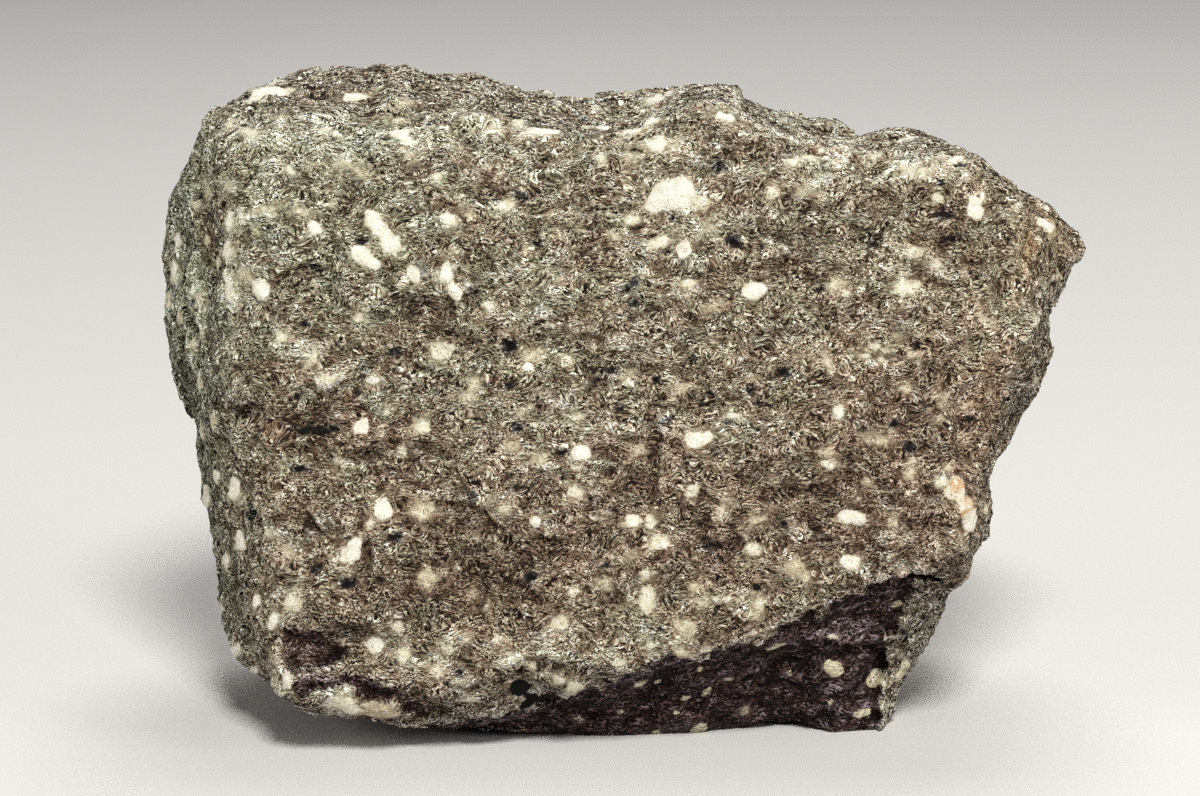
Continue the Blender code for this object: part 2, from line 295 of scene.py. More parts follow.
# The eyes of the front face, part by part.
EYES = [
    Grain(*row)
    for row in (
        # The top left rim, and the white eyes below it.
        (-46.9, 83.6, 2.9, 2.2, 20.0, B, 6.0), (-45.0, 84.2, 3.4, 2.1, 10.0, B, 6.0),
        (-44.9, 85.3, 1.8, 1.0, 30.0, B, 4.0), (-42.9, 84.4, 1.8, 0.8, 20.0, C, 4.0),
        (-34.7, 83.5, 4.4, 1.3, 0.0, B, 5.0), (-28.7, 80.6, 1.8, 1.0, 0.0, C, 4.0),
        (-28.7, 78.9, 2.9, 2.2, -20.0, B), (-27.7, 77.9, 2.3, 2.0, -30.0, B),
        (-51.0, 80.1, 2.1, 1.4, 0.0, C, 3.0), (-42.9, 74.1, 2.1, 1.2, -45.0, B),
        (-39.5, 66.6, 2.9, 1.7, -50.0, B), (-32.0, 67.3, 4.4, 2.3, -60.0, B),
        (-29.9, 64.6, 3.6, 2.6, -40.0, B), (-33.8, 63.2, 3.1, 2.1, -30.0, B),
        (-32.2, 62.0, 3.4, 2.2, -32.0, B), (-26.8, 60.6, 3.1, 1.8, -38.0, B),
        (-22.5, 60.8, 3.1, 1.8, 80.0, B), (-21.4, 58.2, 2.6, 1.8, -45.0, B),
        (-17.3, 56.4, 1.3, 1.2, 0.0, B), (-51.1, 71.8, 1.7, 2.0, 0.0, F), (-47.6, 66.0, 2.1, 1.4, 0.0, F),
        (-23.8, 73.3, 1.6, 1.6), (-54.0, 75.3, 1.4, 0.9, 30.0), (-22.2, 67.6, 2.6, 1.7, -10.0, B),
        (-19.6, 68.5, 1.6, 1.2, 0.0, F), (-15.0, 69.4, 2.6, 1.8), (-46.8, 58.8, 2.9, 2.9, 0.0, B),
        (-50.8, 58.5, 3.6, 1.2, 88.0, B, 6.0), (-48.6, 79.0, 4.4, 1.3, -20.0, C, 4.0),
        (-27.8, 82.9, 2.6, 1.6, 0.0, F, 3.0), (-44.2, 81.0, 2.9, 1.6, 0.0, F, 3.0), (-38.6, 79.2, 1.3, 1.0),
        (-35.9, 75.0, 1.8, 1.6, 0.0, F), (-33.8, 73.6, 2.2, 1.3, -30.0, F),
        (-27.0, 75.7, 1.3, 1.6, 80.0, F), (-41.6, 68.6, 3.6, 1.2, -22.0, F),
        (-46.5, 68.9, 3.4, 1.0, 8.0, F), (-53.4, 71.5, 1.6, 2.6, 60.0, F), (-48.9, 60.3, 1.6, 3.1, 80.0, F),
        (-20.4, 82.2, 1.3, 0.8, 20.0, B),
        # Low in the middle.
        (-22.2, 12.0, 1.3, 1.0), (-23.8, 9.0, 1.8, 1.6), (-20.3, 13.8, 1.6, 1.0, 0.0, F),
        (-16.0, 12.9, 1.3, 1.2), (-13.9, 10.9, 1.6, 0.8), (-7.9, 7.8, 2.1, 1.6, 10.0, B),
        (-5.7, 6.9, 3.1, 1.6, 0.0, C, 3.0), (-19.2, 5.3, 2.1, 1.0, 20.0, C, 3.0),
        (-11.8, 9.5, 2.6, 1.6, 0.0, F), (8.2, 14.8, 2.6, 2.1, 0.0, F),
        # Along the top edge.
        (-13.3, 80.3, 1.6, 1.8), (-16.6, 79.6, 2.1, 1.2), (-10.0, 79.2, 4.4, 1.4, 0.0, B, 3.5),
        (-2.1, 79.6, 2.5, 1.0, -8.0, B, 6.0), (1.3, 79.2, 2.7, 1.2, 8.0, B, 6.0),
        (3.9, 80.5, 2.1, 0.9, 30.0, B, 6.0), (4.7, 83.2, 3.1, 1.3, 18.0, B, 7.0),
        (7.0, 84.1, 2.9, 1.4, 28.0, B, 7.0), (-4.8, 84.0, 2.1, 0.8, 0.0, C, 4.0),
        (13.7, 81.0, 3.1, 1.3, -10.0, B, 3.0), (29.1, 77.7, 3.4, 0.7, -8.0, B, 6.0),
        # The upper middle, with the largest eyes.
        (4.8, 77.7, 3.0, 2.7, 0.0, B), (7.3, 77.6, 1.3, 1.6, 0.0, F), (-2.3, 75.3, 1.6, 1.6),
        (1.4, 75.5, 1.8, 1.6, 0.0, F), (5.6, 70.9, 3.9, 3.5, 20.0, B), (8.2, 71.6, 3.9, 3.1, -10.0, B),
        (10.4, 69.9, 2.9, 2.2, -20.0), (4.5, 69.5, 2.9, 1.8, 10.0, B), (7.3, 69.8, 3.9, 2.1, 0.0, B),
        (1.6, 67.6, 2.3, 1.7, 30.0), (5.2, 64.7, 3.4, 2.3), (8.2, 63.6, 2.9, 2.3, -20.0, B),
        (-1.0, 65.7, 2.0, 1.0, 0.0, F),
        # The upper right.
        (22.2, 75.0, 2.2, 1.3, 0.0, B), (24.3, 75.8, 2.6, 1.2, 15.0), (28.1, 75.0, 1.6, 1.0),
        (33.0, 76.0, 1.6, 1.3), (43.4, 75.4, 2.3, 0.9, 20.0, B, 3.0), (36.9, 74.4, 2.9, 1.3, -50.0),
        (39.1, 73.8, 3.1, 1.8, 0.0, F), (26.3, 76.8, 2.3, 1.0, 30.0), (19.8, 71.2, 2.6, 1.8),
        (24.3, 71.2, 2.9, 1.6, 0.0, F), (41.3, 70.5, 1.8, 1.6), (46.1, 69.4, 2.6, 3.2, 0.0, B),
        (47.1, 70.7, 1.0, 1.6, 0.0, B), (38.2, 63.4, 2.6, 1.8), (41.3, 61.8, 2.1, 1.3),
        (36.9, 58.8, 2.2, 2.5), (38.2, 58.9, 2.2, 2.2, 20.0), (36.4, 57.2, 1.0, 0.9, 0.0, B),
        (17.3, 58.4, 3.4, 2.7, 10.0, B), (28.1, 59.3, 2.9, 2.1, 0.0, F), (29.4, 58.0, 1.8, 1.0),
        (11.8, 56.0, 2.3, 1.2, 0.0, F), (9.1, 59.5, 2.1, 1.6), (10.4, 65.3, 0.9, 0.8),
        (12.1, 66.6, 2.1, 1.0, 0.0, F), (47.6, 54.6, 1.8, 1.3, 0.0, F),
        # On the spur.
        (55.4, 69.0, 1.7, 1.6, 30.0, B, 2.5), (58.4, 68.4, 3.1, 1.3, -50.0, B, 9.0),
        # Right of the middle.
        (37.1, 45.8, 1.8, 1.6, 0.0, F), (32.9, 51.2, 1.3, 1.0), (34.5, 50.7, 1.0, 1.0),
        (26.4, 50.1, 1.3, 1.0),
        # Over the middle and the lower half.
        (-23.3, 50.6, 3.4, 2.6), (-12.0, 48.6, 2.0, 1.7, 0.0, B), (-11.2, 49.9, 2.9, 2.0, 20.0, F),
        (-40.0, 49.4, 3.4, 1.6, 80.0), (-38.0, 47.1, 2.6, 1.6), (-32.1, 46.8, 2.3, 1.2, 0.0, B),
        (-43.9, 52.3, 1.8, 1.6), (-34.1, 54.9, 1.6, 1.3), (-33.4, 40.8, 3.1, 2.3, 65.0, B),
        (-25.6, 40.6, 2.9, 2.0, -20.0), (-19.9, 44.6, 2.6, 1.8, 0.0, F), (-19.0, 46.3, 1.8, 1.8, 0.0, F),
        (-5.1, 37.3, 2.9, 2.3, 0.0, B), (9.8, 39.0, 3.1, 2.6, -8.0, B), (11.2, 39.3, 2.1, 2.0, 20.0, B),
        (14.7, 42.2, 1.8, 0.8, 0.0, B), (9.5, 32.4, 2.5, 2.2), (-5.9, 32.2, 2.3, 1.8),
        (27.3, 35.8, 2.3, 1.8), (29.4, 29.2, 2.6, 2.2, 10.0, B), (30.9, 28.9, 2.6, 2.2, -10.0, B),
        (-11.1, 28.3, 1.8, 1.6, 0.0, B), (-30.7, 30.0, 3.1, 3.0, 0.0, B), (-32.5, 28.1, 1.4, 1.4),
        (-25.5, 29.8, 3.4, 2.9, 0.0, F), (-35.0, 24.1, 2.6, 2.5, 30.0, B), (-34.3, 25.2, 2.2, 2.1, 60.0, B),
        (-25.2, 21.1, 3.4, 2.6, 0.0, F), (-42.6, 17.6, 3.9, 2.9), (-45.6, 26.9, 2.1, 1.7),
        (-43.2, 24.6, 2.9, 1.7, 0.0, F), (1.6, 28.5, 2.2, 2.0, 0.0, B), (3.9, 28.2, 2.2, 2.0),
        (5.2, 25.6, 3.1, 2.2), (3.2, 21.4, 2.5, 2.0), (3.4, 18.2, 4.4, 2.3, 90.0),
        (22.8, 22.4, 3.5, 2.9, 90.0, T), (23.8, 21.4, 1.6, 1.6), (29.9, 23.1, 3.5, 2.0, -10.0, B),
        (17.3, 24.7, 2.3, 1.7), (-7.9, 15.2, 2.5, 2.2), (-31.7, 12.3, 2.5, 2.3, 0.0, B),
        (-28.2, 11.1, 2.0, 2.0), (-29.1, 14.7, 2.0, 1.4), (18.2, 17.8, 2.2, 1.4, 90.0),
        (-6.0, 19.2, 1.6, 1.8), (-17.3, 17.4, 1.3, 1.0), (-19.2, 19.0, 1.3, 1.0, 0.0, F),
        (-15.0, 30.2, 1.8, 1.7), (-14.2, 38.2, 2.2, 1.4, 0.0, F), (-10.5, 36.5, 2.2, 1.4, 0.0, F),
        (-28.1, 37.6, 1.2, 1.0), (-30.3, 42.6, 1.2, 1.0), (-30.7, 39.6, 1.0, 0.9), (0.8, 46.7, 1.2, 1.2),
        (-5.3, 42.0, 1.0, 0.9), (-6.9, 49.7, 1.6, 1.2), (-3.4, 51.1, 1.0, 0.9),
        (-13.1, 42.5, 1.3, 1.0, 0.0, F), (-36.7, 36.5, 1.6, 1.3, 0.0, F), (7.8, 45.5, 1.6, 1.3, 0.0, F),
        (-21.3, 22.6, 1.0, 0.9), (-35.8, 17.4, 1.0, 0.9), (1.3, 47.5, 1.2, 1.0, 0.0, F),
        (-54.6, 52.6, 2.1, 0.9, 90.0),
        # Small ones over the right half and low in the middle.
        (33.1, 51.2, 1.6, 1.2), (33.9, 49.4, 1.7, 1.0), (31.7, 49.9, 1.7, 1.0), (37.8, 50.1, 1.4, 1.2),
        (35.8, 52.5, 1.6, 1.2, 0.0, F), (26.9, 48.9, 1.4, 1.0), (28.5, 42.6, 1.3, 2.1, 10.0, B),
        (42.0, 44.5, 1.6, 2.0, 0.0, F), (41.7, 41.6, 1.6, 1.0, 0.0, F), (44.7, 43.4, 0.9, 0.8),
        (33.7, 38.9, 3.4, 1.3, -10.0, F), (26.7, 37.4, 2.1, 1.3, 0.0, F), (38.0, 36.5, 1.3, 1.0),
        (42.8, 35.4, 1.3, 1.0), (37.7, 34.7, 1.6, 2.0, 0.0, F), (13.3, 29.9, 2.0, 0.9, 45.0),
        (17.7, 28.5, 2.6, 1.0, 20.0, F), (35.4, 28.5, 1.8, 1.3), (32.2, 33.4, 1.6, 1.0, 0.0, F),
        (20.3, 33.5, 1.3, 1.6, 0.0, F), (2.7, 37.6, 1.6, 1.3, 0.0, F), (-5.7, 35.4, 1.6, 0.8),
        (1.7, 24.1, 1.6, 1.3, 0.0, F), (-1.7, 20.3, 2.3, 2.3, 0.0, F), (9.9, 19.8, 2.1, 1.8, 0.0, F),
        (10.9, 17.8, 2.1, 1.6, 0.0, F), (13.9, 18.3, 1.3, 1.0, 0.0, B), (17.8, 16.1, 2.1, 1.6, 0.0, F),
        (17.4, 13.9, 1.0, 0.9), (8.8, 14.8, 3.1, 2.3, 0.0, F), (7.8, 11.2, 2.6, 1.6, 0.0, F),
        (0.0, 10.1, 1.2, 0.9), (11.2, 11.6, 2.1, 0.8, 10.0), (54.0, 46.4, 1.8, 1.8, 0.0, F),
        (48.0, 54.3, 1.6, 1.0, 0.0, F),
    )
]

# The other large grains, off the front face or of another kind.
LENSES = [
    Grain(*row)
    for row in (
        # Pale grains in the undercut.
        (20.2, 12.2, 3.2, 1.4, 14.0, S, 3.1), (27.8, 13.4, 2.1, 0.8, 5.0, C, 2.0),
        (27.8, 9.4, 2.9, 2.1, -40.0, K, 5.2), (33.1, 8.1, 3.1, 2.5, 45.0, K, 6.6),
        (36.3, 8.3, 2.0, 1.6, 60.0, K, 4.4), (37.1, 9.9, 1.6, 1.8, 0.0, K, 4.4),
        (31.5, 3.5, 2.9, 1.4, 8.0, K, 3.5), (10.0, 1.4, 2.7, 2.0, 10.0, K, 4.0),
        (4.8, 0.9, 2.0, 1.3, 0.0, K, 2.6), (8.6, 5.5, 1.6, 1.2, 20.0, S, 2.4),
        (11.2, 6.2, 2.0, 1.0, 45.0, S, 2.2), (2.7, 7.4, 2.3, 0.9, 28.0, S, 2.0),
        (4.9, 7.5, 1.4, 0.8, 40.0, S, 1.6), (11.4, 10.7, 1.8, 0.9, 35.0, S, 1.8),
        (10.3, 9.2, 1.3, 0.7, 35.0, S, 1.6), (22.0, 8.8, 1.3, 0.7, 60.0, S, 1.6),
        (13.9, 7.8, 1.6, 0.8, 25.0, C, 0.9), (16.2, 3.6, 1.8, 1.2, 20.0, F, 0.8),
        (3.9, 12.3, 1.6, 0.9, 0.0, C, 1.0), (35.9, 17.7, 1.8, 0.9, 15.0, S, 2.2),
        (31.3, 13.0, 1.2, 0.7, 0.0, S, 1.6), (27.4, 4.9, 1.0, 0.7, 20.0, S, 1.6),
        (0.0, 3.6, 1.3, 0.7, 30.0, S, 1.6), (-2.3, 6.5, 1.2, 0.5, 20.0, S, 1.6),
        (7.3, 3.6, 1.2, 0.7, 0.0, S, 1.6), (-5.7, 3.1, 1.6, 0.5, 10.0, S, 1.6),
        (-13.0, 1.4, 2.1, 0.5, 8.0, S, 1.6),
        # Eyes drawn out round the left edge.
        (-53.8, 31.6, 3.6, 1.4, 92.0, B, 9.0), (-53.2, 26.0, 2.9, 1.3, 94.0, B, 9.0),
        (-50.2, 32.8, 3.6, 2.1, 86.0, B, 5.0), (-52.4, 34.1, 1.8, 1.6, 80.0, B, 5.0),
        (-45.2, 15.3, 3.1, 1.6, 75.0, B, 9.0), (-43.4, 7.9, 2.9, 1.3, 88.0, B, 9.0),
        (-49.9, 11.7, 2.9, 1.2, 58.0, B, 9.0), (-47.6, 9.0, 2.6, 1.3, 50.0, B, 9.0),
        (-45.6, 6.8, 3.6, 1.6, 42.0, B, 9.0), (-51.7, 17.3, 1.8, 1.2, 80.0, B, 9.0),
        (-47.3, 18.2, 1.8, 1.2, 78.0, B, 9.0), (-50.7, 67.3, 3.1, 1.2, 86.0, B, 5.0),
        (-51.0, 63.7, 2.6, 1.2, 95.0, B, 5.0), (-58.0, 61.1, 3.9, 1.4, 82.0, B, 9.0),
        (-57.5, 64.6, 2.9, 1.2, 76.0, B, 9.0), (-58.4, 57.2, 2.6, 1.2, 92.0, C, 9.0),
        (-53.8, 64.9, 2.1, 1.2, 80.0, S, 9.0), (-58.9, 56.9, 3.1, 1.0, 80.0, S, 9.0),
        (-54.6, 57.2, 2.9, 1.2, 90.0, S, 9.0), (-52.3, 62.1, 2.1, 1.2, 88.0, S, 5.0),
        (-54.7, 46.1, 2.1, 1.3, 85.0, S, 9.0), (-57.2, 54.9, 1.8, 1.2, 86.0, S, 9.0),
        (-52.8, 41.6, 2.3, 1.2, 86.0, S, 9.0), (-55.1, 69.5, 1.8, 1.4, 70.0, S, 9.0),
        (-51.2, 23.4, 2.3, 1.2, 82.0, B, 5.0), (-55.6, 51.4, 1.8, 1.2, 88.0, S, 9.0),
        # The pale foot of the flake scar.
        (-36.4, 4.8, 4.2, 2.3, -8.0, C, 4.0), (-34.8, 4.2, 2.3, 1.3, 20.0, B, 3.0),
        (-30.8, 3.6, 5.7, 2.3, -10.0, T, 4.0), (-33.0, 4.5, 2.6, 0.8, 25.0, C, 2.5),
        # The rusty group at the right edge.
        (43.6, 32.5, 3.9, 3.4, -40.0, R, 3.0), (44.9, 30.2, 3.4, 2.6, -60.0, R, 3.0),
        (45.8, 28.5, 3.9, 3.2, 80.0, B, 3.6), (41.7, 33.5, 2.3, 1.8, 0.0, C, 2.0),
        (47.5, 30.2, 1.8, 1.0, 70.0, R, 1.5),
        # Black mica.
        (-14.2, 51.1, 1.7, 1.4, 0.0, D), (-15.0, 51.9, 1.2, 0.9, 20.0, D),
        (-13.0, 6.8, 3.1, 3.1, 0.0, D, 4.0), (-11.4, 5.6, 2.9, 2.1, -45.0, D, 4.0),
        (-12.3, 4.4, 2.1, 1.7, 30.0, D, 4.0), (-11.4, 21.2, 1.7, 1.3, 15.0, D),
        (17.8, 19.9, 1.6, 1.2, 0.0, D), (35.8, 41.2, 1.4, 1.0, 10.0, D), (40.3, 43.3, 1.4, 0.7, 0.0, D),
        (15.0, 64.6, 2.0, 1.0, -35.0, D), (-35.4, 20.3, 1.8, 0.9, 10.0, D),
        (-41.7, 35.4, 2.1, 0.8, -8.0, D), (-3.9, 31.3, 0.9, 0.9, 0.0, D), (11.4, 45.1, 1.2, 0.8, 0.0, D),
        (2.1, 76.7, 2.0, 0.7, -4.0, D, 2.0), (12.7, 21.2, 0.8, 1.3, 0.0, D),
        (-1.8, 22.5, 1.6, 0.8, 10.0, D), (48.0, 32.2, 1.0, 1.6, 0.0, D), (1.0, 58.6, 1.6, 0.7, 42.0, D),
        (-10.7, 44.6, 0.8, 0.7, 0.0, D), (21.3, 28.1, 1.6, 0.7, -40.0, D), (-22.5, 7.3, 1.0, 0.8, 0.0, D),
        (-20.9, 9.0, 1.2, 0.8, 0.0, D), (-10.7, 9.0, 1.2, 0.8, 0.0, D),
    )
]

# Dark clots of fine mica, with soft edges.
CLOTS = [
    Grain(*row)
    for row in (
        (-14.4, 51.1, 2.6, 2.3), (-12.7, 70.5, 2.0, 1.6), (-10.5, 64.6, 1.6, 1.7),
        (14.8, 64.7, 2.9, 1.8, -35.0), (18.3, 64.1, 1.3, 1.6), (1.0, 58.9, 4.7, 1.2, 42.0),
        (4.8, 46.8, 1.6, 1.3), (-10.7, 44.6, 1.0, 0.9), (0.0, 43.4, 1.8, 1.6), (11.8, 45.1, 1.6, 1.0),
        (17.0, 45.5, 1.8, 1.2, 25.0), (6.2, 41.6, 2.9, 1.0, 15.0), (13.9, 41.3, 2.3, 1.0, 20.0),
        (-19.0, 58.1, 1.3, 1.0), (-41.7, 35.4, 2.9, 1.3, -8.0), (-19.2, 31.9, 2.3, 2.1),
        (-48.4, 29.5, 3.1, 3.1), (-11.4, 21.2, 2.2, 1.8, 15.0), (-35.4, 20.3, 3.1, 1.8, 10.0),
        (-29.1, 26.3, 2.9, 1.6, -10.0), (-3.9, 31.3, 1.0, 1.0), (-39.5, 40.2, 5.7, 1.6),
        (-13.1, 32.9, 5.2, 1.0), (13.3, 83.1, 1.6, 1.0), (11.2, 80.0, 2.9, 0.9), (13.0, 74.5, 2.9, 1.4),
        (-20.3, 79.4, 1.0, 1.0), (42.1, 68.2, 3.4, 1.8), (42.8, 65.1, 3.1, 1.3),
        (56.0, 62.9, 2.3, 1.6, 30.0), (40.3, 43.2, 1.8, 1.0), (35.8, 41.2, 2.1, 1.3),
        (21.3, 28.1, 2.1, 1.2, -40.0), (11.8, 25.5, 3.9, 1.2, -15.0), (48.0, 32.1, 1.3, 1.8),
        (37.2, 44.1, 1.2, 0.8), (9.4, 49.5, 1.8, 1.2), (-1.2, 48.0, 2.9, 1.3, 20.0), (17.8, 19.9, 1.6, 1.3),
        (12.7, 21.2, 1.0, 1.7), (-1.8, 22.6, 2.1, 1.2, 10.0), (11.4, 25.2, 1.8, 1.0),
        (51.9, 44.5, 1.3, 1.0), (7.9, 62.1, 1.6, 0.7), (-20.9, 8.8, 1.8, 1.3), (-22.5, 7.4, 1.3, 1.0),
        (-54.9, 70.2, 2.1, 1.6, 60.0),
    )
]


def read_vectors(items: bpy.types.bpy_prop_collection, name: str) -> np.ndarray:
    """Reads a vector property of all the items.

    Args:
        items: The mesh's items.
        name: The property's name.

    Returns:
        The vectors as rows of an array.
    """
    values = np.empty(len(items) * 3)
    items.foreach_get(name, values)
    return values.reshape(-1, 3)


def corners_of(mesh: bpy.types.Mesh) -> np.ndarray:
    """Reads the corners of the mesh's triangles.

    Args:
        mesh: The mesh.

    Returns:
        The three vertex numbers of each triangle.
    """
    mesh.calc_loop_triangles()
    corners = np.empty(len(mesh.loop_triangles) * 3, int)
    mesh.loop_triangles.foreach_get("vertices", corners)
    return corners.reshape(-1, 3)


def gather(index: np.ndarray, rows: np.ndarray, count: int) -> np.ndarray:
    """Adds rows up by their index.

    Args:
        index: The index of each row.
        rows: The rows, of three numbers each.
        count: How many sums there are.

    Returns:
        The sums, one row for each index.
    """
    sums = [np.bincount(index, weights=rows[:, axis], minlength=count) for axis in range(3)]
    return np.stack(sums, axis=1)


def vertex_normals(places: np.ndarray, faces: np.ndarray) -> np.ndarray:
    """Works out the way in which the surface faces at each vertex.

    Args:
        places: The vertices.
        faces: The vertex numbers of the triangles.

    Returns:
        The unit normals.
    """
    first, second, third = places[faces[:, 0]], places[faces[:, 1]], places[faces[:, 2]]
    normals = np.repeat(np.cross(second - first, third - first), 3, axis=0)
    summed = gather(faces.ravel(), normals, len(places))
    return summed / (np.linalg.norm(summed, axis=1)[:, None] + 1e-15)


def edge_ends(mesh: bpy.types.Mesh) -> tuple[np.ndarray, np.ndarray]:
    """Reads the mesh's edges, each both ways round.

    Args:
        mesh: The mesh.

    Returns:
        The vertex numbers at the one end and at the other.
    """
    ends = np.empty(len(mesh.edges) * 2, int)
    mesh.edges.foreach_get("vertices", ends)
    ends = ends.reshape(-1, 2)
    return np.concatenate([ends[:, 0], ends[:, 1]]), np.concatenate([ends[:, 1], ends[:, 0]])


def neighbour_means(
    places: np.ndarray, one: np.ndarray, other: np.ndarray, degree: np.ndarray
) -> np.ndarray:
    """Returns the middle of each vertex's neighbours, given the edges' ends and the neighbours' number."""
    return gather(one, places[other], len(places)) / degree


def write_places(mesh: bpy.types.Mesh, places: np.ndarray) -> None:
    """Moves the mesh's vertices, in metres, and lets none of them sink below the floor."""
    places[:, 2] = np.maximum(places[:, 2], 0.0)
    mesh.vertices.foreach_set("co", places.ravel())


def write_values(mesh: bpy.types.Mesh, name: str, values: np.ndarray) -> None:
    """Keeps one number for each vertex in the mesh, under a name."""
    attribute = mesh.attributes.new(name, "FLOAT", "POINT")
    attribute.data.foreach_set("value", values.astype(np.float32))


def add_object(name: str, mesh: bpy.types.Mesh) -> bpy.types.Object:
    """Puts a mesh into the scene.

    Args:
        name: The object's name.
        mesh: Its mesh.

    Returns:
        The new object.
    """
    made = bpy.data.objects.new(name, mesh)
    bpy.context.scene.collection.objects.link(made)
    return made


def plain_result(made: bpy.types.Object) -> bpy.types.Mesh:
    """Returns what an object's modifiers make of it, as a plain mesh."""
    return bpy.data.meshes.new_from_object(made.evaluated_get(bpy.context.evaluated_depsgraph_get()))


def noise_at(points: np.ndarray, lengths: Sequence[float], offset: float = 0.0) -> np.ndarray:
    """Returns smooth noise from about -1 to 1 at the points.

    Args:
        points: The points in millimetres.
        lengths: The size of the noise's lumps along, away and up, in millimetres.
        offset: A shift that makes one noise unlike another.

    Returns:
        One value for each point.
    """
    scaled = points / np.array(lengths) + offset
    return np.array([noise.noise(Vector(point)) for point in scaled])


def smooth_step(values: np.ndarray) -> np.ndarray:
    """Eases values from 0 to 1, and holds them there outside."""
    held = np.clip(values, 0.0, 1.0)
    return held * held * (3.0 - 2.0 * held)


@dataclass(frozen=True)
class Lumps:
    """The middle-sized lumps of the broken surface.

    Args:
        sizes: The length of each kind of lump along, away and up, and its height, in millimetres.
        offset: What makes their noise unlike another.
    """

    sizes: tuple[tuple[float, float, float, float], ...] = ((10.0, 5.0, 7.0, 0.5), (4.6, 2.6, 3.6, 0.36))
    offset: float = 9.0

    def rise(self, points: np.ndarray) -> np.ndarray:
        """Returns how far the lumps raise the surface at the points."""
        return sum(size[3] * noise_at(points, size[:3], self.offset) for size in self.sizes)


@dataclass(frozen=True)
class Chisel:
    """The blows that knock the high places off the form, each leaving a flat break with crisp edges.

    Args:
        blows: How many there are.
        reach: The least and the greatest distance over which one acts, in millimetres.
        bite: The least and the most that one takes off, in millimetres.
        share: The most that one takes of the bulge that it meets.
        tilt: How far the breaks turn from the form, as a tangent.
        fade: The part of its reach, at the rim, over which a blow fades out.
        seed: Where the random numbers start.
    """

    blows: int = 900
    reach: tuple[float, float] = (3.0, 9.5)
    bite: tuple[float, float] = (0.3, 1.15)
    share: float = 0.5
    tilt: float = 0.17
    fade: float = 0.25
    seed: int = 5

    def strike(self, points: np.ndarray, normals: np.ndarray, free: np.ndarray) -> None:
        """Strikes all the blows.

        Args:
            points: The vertices in millimetres, moved in place.
            normals: Their normals.
            free: How far each may move, from 0 to 1.
        """
        rng = np.random.default_rng(self.seed)
        for _ in range(self.blows):
            middle = points[rng.integers(len(points))]
            reach = rng.uniform(*self.reach)
            bite = rng.uniform(*self.bite)
            turned = rng.normal(size=3) * self.tilt
            near = np.nonzero((np.abs(points - middle) < reach).all(axis=1))[0]
            away = np.linalg.norm(points[near] - middle, axis=1)
            near, away = near[away < reach], away[away < reach]
            facing = normals[near].mean(axis=0) + turned
            facing /= np.linalg.norm(facing)
            high = (points[near] - middle) @ facing
            top = high.max()
            over = high - (top - min(bite, self.share * (top - np.median(high))))
            hold = np.clip((1.0 - away / reach) / self.fade, 0.0, 1.0) * free[near]
            points[near] -= (np.maximum(over, 0.0) * hold)[:, None] * facing


